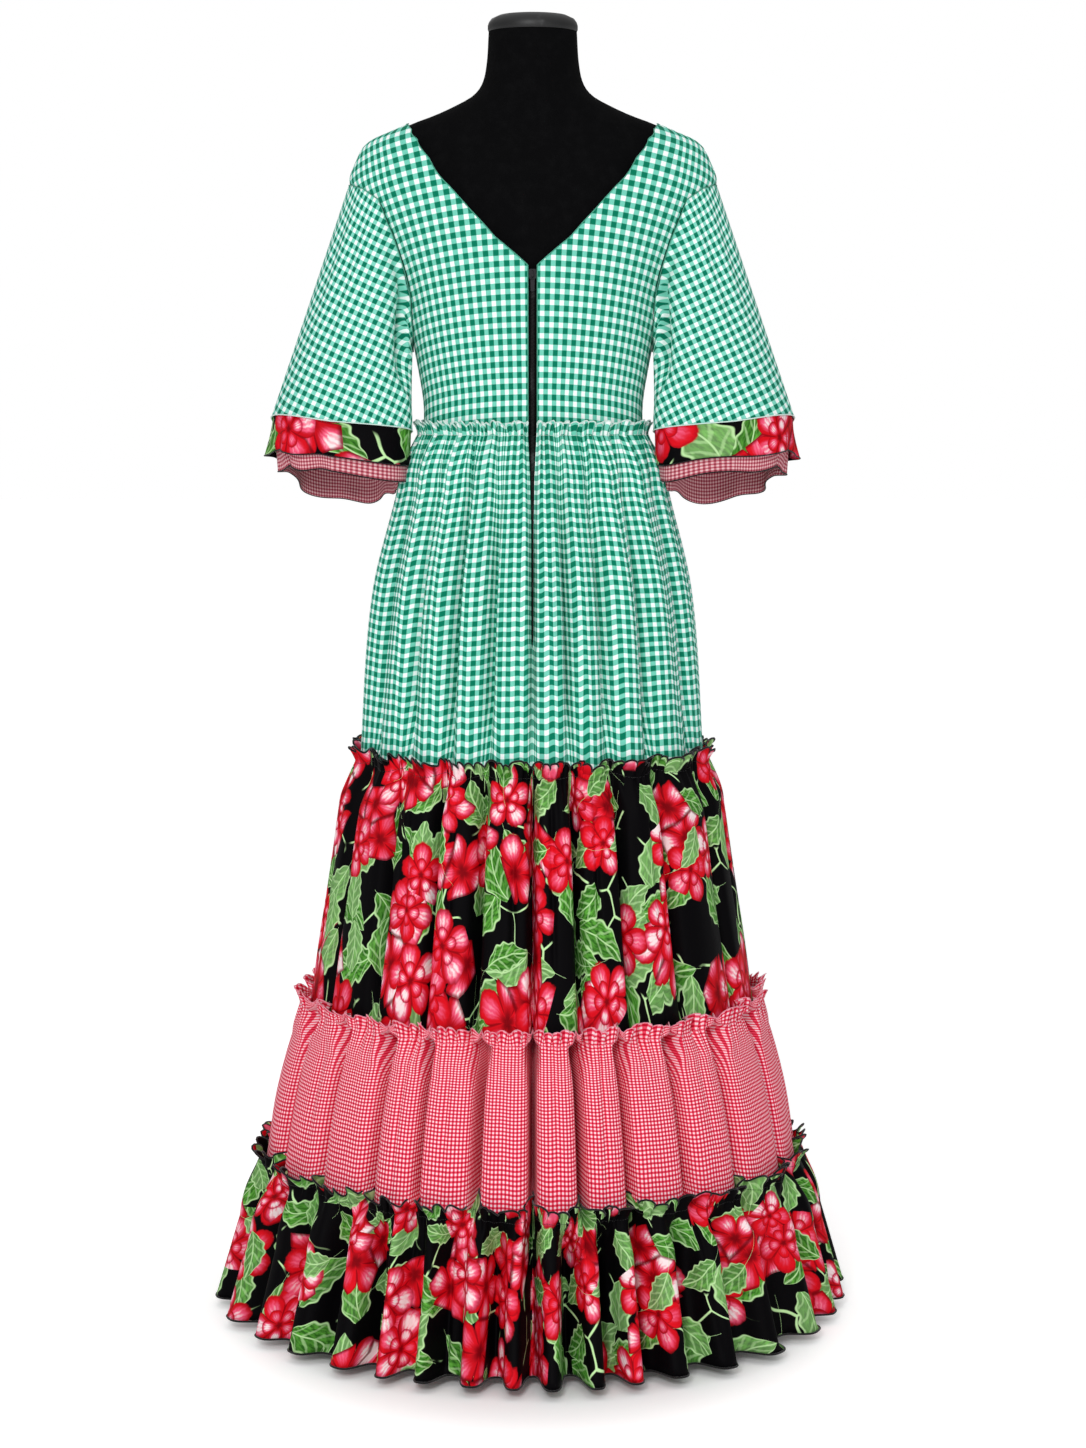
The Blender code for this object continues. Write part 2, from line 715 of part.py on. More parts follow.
def build_tier(stand, name, rows, slot, split_at_back):
    """Four panels, each a quarter of the ring, parted at their seams."""
    count = len(rows[0])
    quarter = count // 4
    panels = {}
    for i, panel in enumerate(PANELS):
        picked = [(i * quarter + k) % count for k in range(quarter + 1)]
        part = []
        for row in rows:
            points = [row[k].copy() for k in picked]
            for end, inner in ((0, 1), (-1, -2)):
                inwards = (points[inner] - points[end]).normalized()
                points[end] += SEAM_SLACK * inwards
            if split_at_back and panel.startswith("back"):
                middle = points[0] if panel == "back_right" else points[-1]
                middle.x = math.copysign(opening_half(middle.z), middle.x)
            part.append(points)
        panels[panel] = extrude_rows(part, False, body_faces)
    sewn = sewn_directions(panels.values())
    for panel, sheet in panels.items():
        add_object(f"{name}_{panel}", thicken(sheet, sewn, WALL), slot, stand)


def build_skirt(stand):
    def soft(turn):
        """The green tier's gathers, faded out beside the zip so that the opening lies flat."""
        from_back = min(turn, 1.0 - turn)
        return gathers(turn) * min(1.0, max(0.0, (from_back - ZIP_FLAT) / ZIP_FADE))

    top = tier_rows(TOP_TIER, waist_rows(), soft, COLUMNS)
    floral = tier_rows(FLORAL_TIER, top, gathers, COLUMNS)
    pink = tier_rows(PINK_TIER, floral, pillows, COLUMNS)
    hem = tier_rows(HEM_TIER, pink, flounce, 2 * COLUMNS)
    build_tier(stand, "skirt_top", top, "green_gingham", True)
    build_tier(stand, "skirt_floral", floral, "floral", False)
    build_tier(stand, "skirt_pink", pink, "pink_gingham", False)
    build_tier(stand, "hem_flounce", hem, "floral", False)
    return top


# Zip

def build_zip_tape(stand, top_tier):
    """The zip's tape: a strip behind the back edges, from the neckline to below the waist."""
    rows = [(z, body_point(BODICE, 0.0, z).y + WALL + SEAM_GAP) for z in TAPE_ROWS_BODICE]
    rows += [(z, at_height(top_tier, z)[0].y + WALL + 2 * SEAM_GAP) for z in TAPE_ROWS_SKIRT]
    across = (-ZIP_TAPE_HALF, 0.0, ZIP_TAPE_HALF)
    points = [[Vector((x, y + (ZIP_TAPE_SAG if x else 0.0), z)) for x in across] for z, y in rows]
    tape = extrude_rows(points, False, body_faces)
    tape = thicken(tape, sewn_directions([tape]), ZIP_TAPE_WALL)
    add_object("zip_tape", tape, "zip_black", stand, roughness=0.7)


def box_between(low, high):
    """A bmesh box from its lowest corner to its highest."""
    box = bmesh.new()
    bmesh.ops.create_cube(box, size=1.0)
    size = high - low
    bmesh.ops.scale(box, verts=box.verts, vec=size)
    bmesh.ops.translate(box, verts=box.verts, vec=0.5 * (low + high))
    return box


def slider_face_y():
    """The outer face of the slider's body, above the tape."""
    return body_point(BODICE, 0.0, SLIDER_Z).y + WALL - SLIDER_DEPTH


def build_slider(stand):
    """The slider's bevelled body with an arched bail on it, joined by a union."""
    face = slider_face_y()
    body = box_between(
        Vector((-SLIDER_HALF_WIDTH, face, SLIDER_Z - SLIDER_HALF_HEIGHT)),
        Vector((SLIDER_HALF_WIDTH, face + SLIDER_DEPTH, SLIDER_Z + SLIDER_HALF_HEIGHT)),
    )
    upright = [e for e in body.edges if abs(e.verts[0].co.y - e.verts[1].co.y) > 0.5 * SLIDER_DEPTH]
    bmesh.ops.bevel(
        body, geom=upright, offset=SLIDER_CORNER, offset_type="OFFSET", segments=2, profile=0.5,
        affect="EDGES", material=-1,
    )
    slider = add_object("zip_slider", body, "zip_metal", stand, roughness=0.4, metallic=0.9)
    root = face + BAIL_ROOT
    top = face - BAIL_REACH
    outer = WINDOW_HALF_HEIGHT + BAIL_WALL
    outline = [
        (root, outer),
        (top + BAIL_WALL, outer),
        (top, WINDOW_HALF_HEIGHT),
        (top, -WINDOW_HALF_HEIGHT),
        (top + BAIL_WALL, -outer),
        (root, -outer),
        (root, -WINDOW_HALF_HEIGHT),
        (face - WINDOW_DEPTH, -WINDOW_HALF_HEIGHT),
        (face - WINDOW_DEPTH, WINDOW_HALF_HEIGHT),
        (root, WINDOW_HALF_HEIGHT),
    ]
    bail = bmesh.new()
    loop = [bail.verts.new((-BAIL_HALF_WIDTH, y, SLIDER_Z + z)) for y, z in outline]
    side = bail.faces.new(loop)
    grown = bmesh.ops.extrude_face_region(bail, geom=[side])["geom"]
    moved = [item for item in grown if isinstance(item, bmesh.types.BMVert)]
    bmesh.ops.translate(bail, verts=moved, vec=(2 * BAIL_HALF_WIDTH, 0.0, 0.0))
    bmesh.ops.recalc_face_normals(bail, faces=bail.faces)
    guide = add_object("bail_shape", bail, "zip_metal", stand)
    guide.hide_render = True
    guide.display_type = "WIRE"
    union = slider.modifiers.new("bail", "BOOLEAN")
    union.operation = "UNION"
    union.solver = "EXACT"
    union.object = guide


def build_pull(stand):
    """The pull tab: a flat plate whose eye goes round the bail. Its object sits on the hinge's axis."""
    axis_y = slider_face_y() - 0.5 * WINDOW_DEPTH
    half_bar = 0.5 * PULL_BAR
    outer = [
        (-PULL_HALF_WIDTH, half_bar),
        (PULL_HALF_WIDTH, half_bar),
        (PULL_HALF_WIDTH, -PULL_LENGTH + PULL_CORNER),
        (PULL_HALF_WIDTH - PULL_CORNER, -PULL_LENGTH),
        (-PULL_HALF_WIDTH + PULL_CORNER, -PULL_LENGTH),
        (-PULL_HALF_WIDTH, -PULL_LENGTH + PULL_CORNER),
    ]
    eye_half = BAIL_HALF_WIDTH + PULL_EYE_EASE
    eye = [
        (-eye_half, -half_bar),
        (eye_half, -half_bar),
        (eye_half, -PULL_EYE_LENGTH),
        (-eye_half, -PULL_EYE_LENGTH),
    ]
    plate = bmesh.new()
    loops = []
    for points in (outer, eye):
        verts = [plate.verts.new((x, -0.5 * PULL_THICK, z)) for x, z in points]
        loops += [plate.edges.new(pair) for pair in zip(verts, verts[1:] + verts[:1])]
    bmesh.ops.triangle_fill(plate, edges=loops, use_beauty=True, normal=(0.0, -1.0, 0.0))
    grown = bmesh.ops.extrude_face_region(plate, geom=list(plate.faces))["geom"]
    moved = [item for item in grown if isinstance(item, bmesh.types.BMVert)]
    bmesh.ops.translate(plate, verts=moved, vec=(0.0, PULL_THICK, 0.0))
    bmesh.ops.recalc_face_normals(plate, faces=plate.faces)
    pull = add_object("zip_pull", plate, "zip_metal", stand, roughness=0.4, metallic=0.9)
    pull.location = (0.0, axis_y, SLIDER_Z)


# The whole object

def main():
    for old in list(bpy.data.objects):
        bpy.data.objects.remove(old)
    stand = bpy.data.objects.new("dress_on_form", None)
    bpy.context.scene.collection.objects.link(stand)
    build_form(stand)
    build_neck_cap(stand)
    build_stand(stand)
    build_bodice(stand)
    build_sleeves(stand)
    top_tier = build_skirt(stand)
    build_zip_tape(stand, top_tier)
    build_slider(stand)
    build_pull(stand)


main()
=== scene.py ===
# %% [markdown]
# A flamenco dress hangs on a black dress form, seen from its back, where the zip is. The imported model
# gives every piece its size and place. This lesson puts real cloth, prints, edges and stitches over it.
# A dress could be simulated, but its gathers, headings and pleats follow from how it is sewn, so here
# each cloth is a fine grid that is wrapped round the body by the same rules that a dressmaker uses.

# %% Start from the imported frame
import json
import math
from collections import namedtuple
from functools import lru_cache

import bmesh
import bpy
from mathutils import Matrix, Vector

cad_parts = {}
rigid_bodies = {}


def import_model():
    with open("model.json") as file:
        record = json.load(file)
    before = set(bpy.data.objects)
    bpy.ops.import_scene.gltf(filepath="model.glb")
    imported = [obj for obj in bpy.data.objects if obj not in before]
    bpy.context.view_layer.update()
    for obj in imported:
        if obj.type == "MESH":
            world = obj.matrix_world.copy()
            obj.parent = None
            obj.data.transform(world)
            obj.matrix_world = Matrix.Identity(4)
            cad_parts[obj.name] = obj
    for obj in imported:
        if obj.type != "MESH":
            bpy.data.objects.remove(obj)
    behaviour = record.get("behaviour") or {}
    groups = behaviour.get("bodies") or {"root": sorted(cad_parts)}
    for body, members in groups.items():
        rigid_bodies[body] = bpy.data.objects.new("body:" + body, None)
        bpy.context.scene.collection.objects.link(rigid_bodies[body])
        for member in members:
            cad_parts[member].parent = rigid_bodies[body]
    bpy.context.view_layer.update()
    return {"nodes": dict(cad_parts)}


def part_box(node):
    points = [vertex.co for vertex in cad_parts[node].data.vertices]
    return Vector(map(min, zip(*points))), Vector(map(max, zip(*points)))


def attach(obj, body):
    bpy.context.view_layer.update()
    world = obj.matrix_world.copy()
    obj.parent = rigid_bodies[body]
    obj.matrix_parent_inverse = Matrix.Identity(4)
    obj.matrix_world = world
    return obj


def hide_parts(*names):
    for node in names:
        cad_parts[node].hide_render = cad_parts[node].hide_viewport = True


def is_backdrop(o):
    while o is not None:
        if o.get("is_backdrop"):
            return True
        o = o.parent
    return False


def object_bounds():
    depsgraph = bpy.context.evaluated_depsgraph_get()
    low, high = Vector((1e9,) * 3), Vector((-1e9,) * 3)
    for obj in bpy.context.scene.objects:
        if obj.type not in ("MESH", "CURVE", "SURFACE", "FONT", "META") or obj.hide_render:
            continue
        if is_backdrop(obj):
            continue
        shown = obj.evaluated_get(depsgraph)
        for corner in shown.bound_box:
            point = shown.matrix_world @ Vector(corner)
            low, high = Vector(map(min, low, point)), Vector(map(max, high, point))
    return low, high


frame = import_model()
DRESS = "dress_and_stand"
print("frame", sorted(frame["nodes"]))

# %% [markdown]
# The photograph was taken from a little above the waist with a long lens, and the lens looks slightly
# down. The hem's curve gives the distance, and the level at which curves turn straight gives the height.
# A camera set from those real sizes frames the dress as the photograph does, with no shift.

# %% Camera
PHOTO_LONG_SIDE = 1448        # pixels
FOCAL_PIXELS = 3060.0
HORIZON_ABOVE_CENTRE = 324.0  # pixels
CAMERA_X = 0.0118
CAMERA_DISTANCE = 3.6
CAMERA_HEIGHT = 1.074
SENSOR = 36.0

lens = bpy.data.cameras.new("camera")
lens.sensor_width = SENSOR
lens.lens = SENSOR * FOCAL_PIXELS / PHOTO_LONG_SIDE
camera = bpy.data.objects.new("camera", lens)
camera.location = (CAMERA_X, -CAMERA_DISTANCE, CAMERA_HEIGHT)
camera.rotation_euler = (0.5 * math.pi - math.atan(HORIZON_ABOVE_CENTRE / FOCAL_PIXELS), 0.0, 0.0)
bpy.context.scene.collection.objects.link(camera)
bpy.context.scene.camera = camera
print("lens", round(lens.lens, 1), "mm")

# %% [markdown]
# A studio shows cloth with one large soft light near the camera and a weaker one opposite. The rest
# comes evenly from white walls, so the folds stay readable. A soft shadow lies round the hem, partly
# real and partly painted shadow: the floor's glow, seen only by the camera, is dimmed there.
# The plain colour transform keeps the print as bright and clear as it is on the cloth.

# %% Light and floor
WALL_LIGHT = 0.20
CEILING_LIGHT = 0.95
FLOOR_GLOW = 0.36
# Painted shadow on the floor: near the hem the camera-only glow falls to this lower value.
FLOOR_GLOW_IN_PAINTED_SHADOW = 0.04
PAINTED_SHADOW_REACH = (0.36, 0.52)     # metres from the middle of the floor
PAINTED_SHADOW_SQUASH = (1.30, 0.92, 0.0)
Lamp = namedtuple("Lamp", "name place size power")
LAMPS = [
    Lamp("key", (-0.6, -3.7, 2.2), 0.9, 62.0),
    Lamp("fill", (1.8, -3.2, 1.4), 1.6, 6.0),
]
AIM = Vector((0.0, 0.0, 0.75))
FLOOR_HALF = 30.0
FLOOR_DROP = 0.0005

bpy.context.scene.view_settings.view_transform = "Standard"
world = bpy.data.worlds.new("studio")
bpy.context.scene.world = world
world.use_nodes = True
sky = world.node_tree
backdrop = sky.nodes["Background"]
backdrop.inputs["Color"].default_value = (1.0, 1.0, 1.0, 1.0)
seen = sky.nodes.new("ShaderNodeLightPath")
direction = sky.nodes.new("ShaderNodeTexCoord")
upwards = sky.nodes.new("ShaderNodeSeparateXYZ")
sky.links.new(direction.outputs["Generated"], upwards.inputs[0])
room = sky.nodes.new("ShaderNodeMapRange")
room.inputs["To Min"].default_value = WALL_LIGHT
room.inputs["To Max"].default_value = CEILING_LIGHT
sky.links.new(upwards.outputs[2], room.inputs["Value"])
strength = sky.nodes.new("ShaderNodeMapRange")
strength.inputs["To Max"].default_value = 1.0
sky.links.new(seen.outputs["Is Camera Ray"], strength.inputs["Value"])
sky.links.new(room.outputs["Result"], strength.inputs["To Min"])
sky.links.new(strength.outputs["Result"], backdrop.inputs["Strength"])

for lamp in LAMPS:
    data = bpy.data.lights.new(lamp.name, "AREA")
    data.size = lamp.size
    data.energy = lamp.power
    light = bpy.data.objects.new(lamp.name, data)
    light.location = lamp.place
    light.rotation_euler = (AIM - Vector(lamp.place)).to_track_quat("-Z", "Y").to_euler()
    bpy.context.scene.collection.objects.link(light)
print("lamps", [lamp.name for lamp in LAMPS])

# %% [markdown]
# Materials are written as sums of small nodes. One helper adds a node and hands back its output, so a
# pattern reads from top to bottom like a recipe. What several cloths share becomes a node group.

# %% Helpers for nodes
class Graph:
    """A node tree that is written step by step: each method adds one node and gives back its output."""

    def __init__(self, tree):
        self.tree = tree

    def add(self, kind, **settings):
        node = self.tree.nodes.new(kind)
        for name, value in settings.items():
            setattr(node, name, value)
        return node

    def feed(self, socket, value):
        if isinstance(value, bpy.types.NodeSocket):
            self.tree.links.new(value, socket)
        else:
            socket.default_value = value

    def math(self, operation, *values):
        node = self.add("ShaderNodeMath", operation=operation)
        for socket, value in zip(node.inputs, values):
            self.feed(socket, value)
        return node.outputs[0]

    def total(self, *values):
        result = values[0]
        for value in values[1:]:
            result = self.math("ADD", result, value)
        return result

    def product(self, *values):
        result = values[0]
        for value in values[1:]:
            result = self.math("MULTIPLY", result, value)
        return result

    def invert(self, value):
        return self.math("SUBTRACT", 1.0, value)

    def rise(self, value, low, high):
        """0 below low, 1 above high, smooth between."""
        node = self.add("ShaderNodeMapRange", interpolation_type="SMOOTHSTEP")
        for label, given in (("Value", value), ("From Min", low), ("From Max", high)):
            self.feed(node.inputs[label], given)
        return node.outputs["Result"]

    def vector(self, operation, a, b=(0.0, 0.0, 0.0)):
        node = self.add("ShaderNodeVectorMath", operation=operation)
        self.feed(node.inputs[0], a)
        self.feed(node.inputs[1], b)
        return node.outputs["Value" if operation == "LENGTH" else "Vector"]

    def scaled(self, vector, size):
        node = self.add("ShaderNodeVectorMath", operation="SCALE")
        self.feed(node.inputs[0], vector)
        self.feed(node.inputs["Scale"], size)
        return node.outputs["Vector"]

    def split(self, vector):
        node = self.add("ShaderNodeSeparateXYZ")
        self.feed(node.inputs[0], vector)
        return node.outputs[0], node.outputs[1]

    def turned(self, vector, angle):
        node = self.add("ShaderNodeVectorRotate", rotation_type="Z_AXIS")
        self.feed(node.inputs["Vector"], vector)
        self.feed(node.inputs["Angle"], angle)
        return node.outputs[0]

    def mix(self, factor, a, b):
        node = self.add("ShaderNodeMix", data_type="RGBA")
        self.feed(node.inputs[0], factor)
        self.feed(node.inputs[6], a)
        self.feed(node.inputs[7], b)
        return node.outputs[2]

    def noise(self, vector, scale, detail=2.0, roughness=0.5):
        node = self.add("ShaderNodeTexNoise")
        self.feed(node.inputs["Vector"], vector)
        for label, value in (("Scale", scale), ("Detail", detail), ("Roughness", roughness)):
            node.inputs[label].default_value = value
        return node.outputs[0]


def node_group(name, inputs, outputs):
    tree = bpy.data.node_groups.new(name, "ShaderNodeTree")
    for label, kind in inputs:
        tree.interface.new_socket(label, in_out="INPUT", socket_type=f"NodeSocket{kind}")
    for label, kind in outputs:
        tree.interface.new_socket(label, in_out="OUTPUT", socket_type=f"NodeSocket{kind}")
    return Graph(tree), tree.nodes.new("NodeGroupInput").outputs, tree.nodes.new("NodeGroupOutput").inputs


def srgb(red, green, blue):
    """A colour as a screen gives it, from 0 to 255, as the linear colour that nodes want."""
    parts = [part / 255 for part in (red, green, blue)]
    return (*[p / 12.92 if p <= 0.04045 else ((p + 0.055) / 1.055) ** 2.4 for p in parts], 1.0)


print("helpers ready")

# %% [markdown]
# Gingham is woven, not printed. Coloured and white threads alternate in stripes both ways. Where two
# coloured stripes cross the cloth has its full colour, where only one runs it has the half tone, and
# the rest is white. The group therefore multiplies and adds two stripes, and gives a faint slub too.

# %% Node group for a woven check
STRIPE_EDGE = 0.035           # softness of a stripe's edge, as a share of the repeat

graph, given, out = node_group(
    "woven_check",
    [("Vector", "Vector"), ("Across", "Float"), ("Down", "Float"), ("Stripe", "Float"),
     ("White", "Color"), ("Half", "Color"), ("Full", "Color")],
    [("Color", "Color"), ("Height", "Float")],
)
across, down = graph.split(given["Vector"])
stripes = []
for place, period in ((across, given["Across"]), (down, given["Down"])):
    from_middle = graph.math("ABSOLUTE", graph.math("SUBTRACT", graph.math(
        "FRACT", graph.math("DIVIDE", place, period)), 0.5))
    half_stripe = graph.math("MULTIPLY", given["Stripe"], 0.5)
    low = graph.math("SUBTRACT", half_stripe, STRIPE_EDGE)
    high = graph.math("ADD", half_stripe, STRIPE_EDGE)
    stripes.append(graph.invert(graph.rise(from_middle, low, high)))
one = graph.math("MAXIMUM", *stripes)
both = graph.product(*stripes)
slub = graph.noise(graph.vector("MULTIPLY", given["Vector"], (1.0, 0.25, 1.0)), 900.0, 3.0)
tone = graph.mix(both, graph.mix(one, given["White"], given["Half"]), given["Full"])
shade = graph.math("MULTIPLY_ADD", slub, 0.22, 0.89)
graph.feed(out["Color"], graph.scaled(tone, shade))
graph.feed(out["Height"], graph.total(graph.product(slub, 0.8), graph.product(one, 0.3)))
print("woven check", len(graph.tree.nodes), "nodes")

# %% [markdown]
# The floral print has red and pink flower heads made of small five-petalled flowers, with veined
# leaves and thin stems on black. Every flower sits on the point of a scattered cell. A coarser scatter
# says where a head of flowers is, and it is asked at the flower's own point, so no flower is cut in two.

# %% Parts of the floral print
PETALS = 5
SECTOR = math.tau / PETALS
RED = srgb(226, 16, 32)
DEEP_RED = srgb(112, 0, 10)
PINK = srgb(244, 92, 128)
PALE = srgb(255, 232, 234)
LEAF_DARK = srgb(40, 92, 26)
LEAF = srgb(100, 176, 66)
LEAF_PALE = srgb(198, 238, 172)
GROUND = srgb(4, 3, 5)
Head = namedtuple("Head", "cell radius")
HEADS = Head(0.165, 0.063)
HEAD_JITTER = 0.55


def scatter(graph, uv, cell, shift, jitter, feature="F1"):
    """Cells of about one size over the cloth: the vector to the cell's own point, and random numbers."""
    node = graph.add("ShaderNodeTexVoronoi", voronoi_dimensions="2D", feature=feature)
    moved = graph.vector("ADD", uv, (*shift, 0.0))
    graph.feed(node.inputs["Vector"], moved)
    node.inputs["Scale"].default_value = 1.0 / cell
    node.inputs["Randomness"].default_value = jitter
    return node, moved


def head_here(graph, point, shift, head):
    """1 where the nearest flower head's middle is within its radius of this point."""
    on_cloth = graph.vector("SUBTRACT", point, (*shift, 0.0))
    node, _ = scatter(graph, on_cloth, head.cell, (0.0, 0.0), HEAD_JITTER)
    return graph.math("LESS_THAN", node.outputs["Distance"], head.radius / head.cell)


def flower(graph, uv, cell, radius, shift, jitter, cut_by_neighbours):
    """A layer of five-petalled flowers: (colour, mask)."""
    node, moved = scatter(graph, uv, cell, shift, jitter)
    centre = node.outputs["Position"]
    chance = graph.add("ShaderNodeSeparateColor")
    graph.feed(chance.inputs[0], node.outputs["Color"])
    spin = graph.product(chance.outputs[0], math.tau)
    local = graph.turned(graph.vector("SUBTRACT", moved, centre), spin)
    local = graph.vector("MULTIPLY", local, (1.0, 1.0, 0.0))
    x, y = graph.split(local)
    reach = graph.vector("LENGTH", local)
    angle = graph.math("ARCTAN2", y, x)
    petal = graph.math("ROUND", graph.math("DIVIDE", angle, SECTOR))
    aside = graph.math("SUBTRACT", angle, graph.product(petal, SECTOR))
    ripple = graph.noise(local, 190.0, 1.0)
    seed = graph.total(graph.product(petal, 7.3), graph.product(chance.outputs[1], 40.0))
    luck = graph.math("FRACT", graph.product(graph.math("SINE", seed), 43.7))
    crown = graph.math("POWER", graph.math("COSINE", graph.product(aside, 0.5 * PETALS)), 0.6)
    edge = graph.product(
        graph.total(0.56, graph.product(crown, 0.44)),
        graph.total(0.86, graph.product(luck, 0.16), graph.product(ripple, 0.10)),
        radius,
    )
    out_share = graph.math("DIVIDE", reach, edge)
    mask = graph.invert(graph.rise(out_share, 0.97, 1.03))
    mask = graph.product(mask, head_here(graph, centre, shift, HEADS))

    bump_out = graph.math("SUBTRACT", out_share, graph.total(0.52, graph.product(luck, 0.18)))
    glow = graph.math("EXPONENT", graph.product(graph.product(bump_out, bump_out), -14.0))
    beside = graph.math("ABSOLUTE", graph.math("DIVIDE", aside, 0.5 * SECTOR))
    glow = graph.product(glow, graph.invert(graph.rise(beside, 0.15, 0.90)))
    glow = graph.product(glow, graph.total(0.45, graph.product(luck, 0.75)),
                         graph.total(0.65, graph.product(chance.outputs[2], 0.6)))
    vein = graph.math("SINE", graph.total(graph.product(aside, 34.0), graph.product(ripple, 7.0)))
    glow = graph.product(glow, graph.total(0.88, graph.product(vein, 0.16)))
    seam = graph.product(graph.rise(beside, 0.84, 0.98), graph.rise(out_share, 0.15, 0.40))
    heart = graph.invert(graph.rise(out_share, 0.08, 0.34))
    rim = graph.rise(out_share, 0.84, 1.0)
    base = graph.mix(graph.product(luck, 0.35), RED, DEEP_RED)
    colour = graph.mix(graph.rise(glow, 0.06, 0.52), base, PINK)
    colour = graph.mix(graph.rise(glow, 0.42, 0.96), colour, PALE)
    dark = graph.math("MAXIMUM", graph.product(heart, 0.85), graph.product(seam, 0.7))
    dark = graph.math("MAXIMUM", dark, graph.product(rim, 0.45))
    if cut_by_neighbours:
        border, _ = scatter(graph, uv, cell, shift, jitter, "DISTANCE_TO_EDGE")
        near = graph.invert(graph.rise(border.outputs["Distance"], 0.01, 0.07))
        dark = graph.math("MAXIMUM", dark, graph.product(near, 0.85))
    return graph.mix(dark, colour, DEEP_RED), mask


def leaf(graph, uv, cell, length, half_width, shift, share):
    """A layer of pointed leaves with a midrib, side veins and a pale edge: (colour, mask)."""
    node, moved = scatter(graph, uv, cell, shift, 0.6)
    chance = graph.add("ShaderNodeSeparateColor")
    graph.feed(chance.inputs[0], node.outputs["Color"])
    local = graph.turned(graph.vector("SUBTRACT", moved, node.outputs["Position"]),
                         graph.product(chance.outputs[0], math.tau))
    x, y = graph.split(local)
    bend = graph.product(graph.product(y, y), 7.0)
    x = graph.math("SUBTRACT", x, bend)
    along = graph.math("ADD", graph.math("DIVIDE", y, length), 0.5)
    inside = graph.math("MINIMUM", graph.math("MAXIMUM", along, 0.0), 1.0)
    belly = graph.math("POWER", graph.math("SINE", graph.product(inside, math.pi)), 0.75)
    lobes = graph.total(1.0, graph.product(graph.math("SINE", graph.product(along, 29.0)), 0.09))
    taper = graph.math("SUBTRACT", 1.25, graph.product(inside, 0.55))
    width = graph.product(belly, taper, lobes, half_width)
    beside = graph.math("DIVIDE", graph.math("ABSOLUTE", x), graph.math("MAXIMUM", width, 0.0002))
    mask = graph.invert(graph.rise(beside, 0.96, 1.04))
    mask = graph.product(mask, graph.math("LESS_THAN", chance.outputs[1], share))
    streak = graph.noise(graph.vector("MULTIPLY", local, (1.0, 0.35, 1.0)), 260.0, 2.0)
    veins = graph.math("SINE", graph.product(
        graph.math("SUBTRACT", graph.product(along, 5.0), graph.product(beside, 1.3)), math.tau))
    veins = graph.rise(graph.total(veins, graph.product(streak, 0.9)), 0.85, 1.45)
    midrib = graph.invert(graph.rise(graph.math("ABSOLUTE", x), 0.0004, 0.0013))
    outline = graph.rise(beside, 0.80, 0.93)
    body = graph.mix(graph.rise(streak, 0.30, 0.70), LEAF_DARK, LEAF)
    one_half = graph.rise(graph.math("DIVIDE", x, half_width), -0.25, 0.25)
    body = graph.mix(graph.product(one_half, 0.45), body, LEAF_DARK)
    body = graph.mix(graph.product(graph.rise(chance.outputs[2], 0.3, 0.9), 0.22), body, LEAF_PALE)
    light = graph.math("MAXIMUM", graph.product(veins, 0.5), graph.math("MAXIMUM", midrib, outline))
    return graph.mix(graph.product(light, 0.85), body, LEAF_PALE), mask


print("print parts ready")

# %% [markdown]
# The layers are laid on the black ground as a textile printer would: stems first, then large leaves,
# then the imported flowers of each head, and on top a few whole flowers and small leaves. Only colour
# leaves this group, because a print lies in the cloth and has no height.

# %% Node group for the floral print
graph, given, out = node_group("floral_print", [("Vector", "Vector")], [("Color", "Color")])
uv = given["Vector"]
wander = graph.noise(uv, 16.0, 1.0)
wavy = graph.vector("ADD", uv, graph.scaled(wander, 0.03))
stem, _ = scatter(graph, wavy, 0.095, (0.31, 0.17), 0.9, "DISTANCE_TO_EDGE")
thin = graph.invert(graph.rise(stem.outputs["Distance"], 0.008, 0.018))
thin = graph.product(thin, graph.rise(graph.noise(uv, 22.0, 1.0), 0.48, 0.54))
colour = graph.mix(thin, GROUND, LEAF_PALE)
for layer_colour, mask in (
    leaf(graph, uv, 0.078, 0.090, 0.0220, (0.113, 0.071), 0.62),
    leaf(graph, uv, 0.070, 0.070, 0.0190, (0.527, 0.333), 0.45),
    flower(graph, uv, 0.066, 0.0500, (0.211, 0.409), 0.85, True),
    flower(graph, uv, 0.090, 0.0440, (0.733, 0.157), 0.70, False),
    flower(graph, uv, 0.090, 0.0225, (0.733, 0.157), 0.70, False),
    leaf(graph, uv, 0.120, 0.062, 0.0170, (0.377, 0.619), 0.45),
):
    colour = graph.mix(mask, colour, layer_colour)
graph.feed(out["Color"], colour)
print("floral print", len(graph.tree.nodes), "nodes")

# %% [markdown]
# Each cloth gets one material. The pattern reads the cloth's own flat map in metres, so it follows
# every gather as a real print does. Cotton is rough and has a faint sheen on its raised fibres, and a
# light bump from the slub breaks its highlights.

# %% Cloth materials
GREEN_REPEAT = (0.0098, 0.0126)      # metres across and down
SKIRT_REPEAT = (0.0098, 0.0112)
SLEEVE_REPEAT = (0.0100, 0.0108)
PINK_REPEAT = (0.0041, 0.0039)
SLEEVE_BIAS = math.radians(-25.0)
FLAT_MAP = "flat_cloth"


def new_material(name):
    material = bpy.data.materials.new(name)
    material.use_nodes = True
    graph = Graph(material.node_tree)
    shader = material.node_tree.nodes["Principled BSDF"]
    return material, graph, shader


def cotton(shader, roughness=0.88, sheen=0.03, shine=0.12):
    shader.inputs["Roughness"].default_value = roughness
    shader.inputs["Sheen Weight"].default_value = sheen
    shader.inputs["Sheen Roughness"].default_value = 0.5
    shader.inputs["Specular IOR Level"].default_value = shine


def bumped(graph, shader, height, distance, strength=1.0):
    bump = graph.add("ShaderNodeBump")
    bump.inputs["Distance"].default_value = distance
    bump.inputs["Strength"].default_value = strength
    graph.feed(bump.inputs["Height"], height)
    graph.feed(shader.inputs["Normal"], bump.outputs[0])


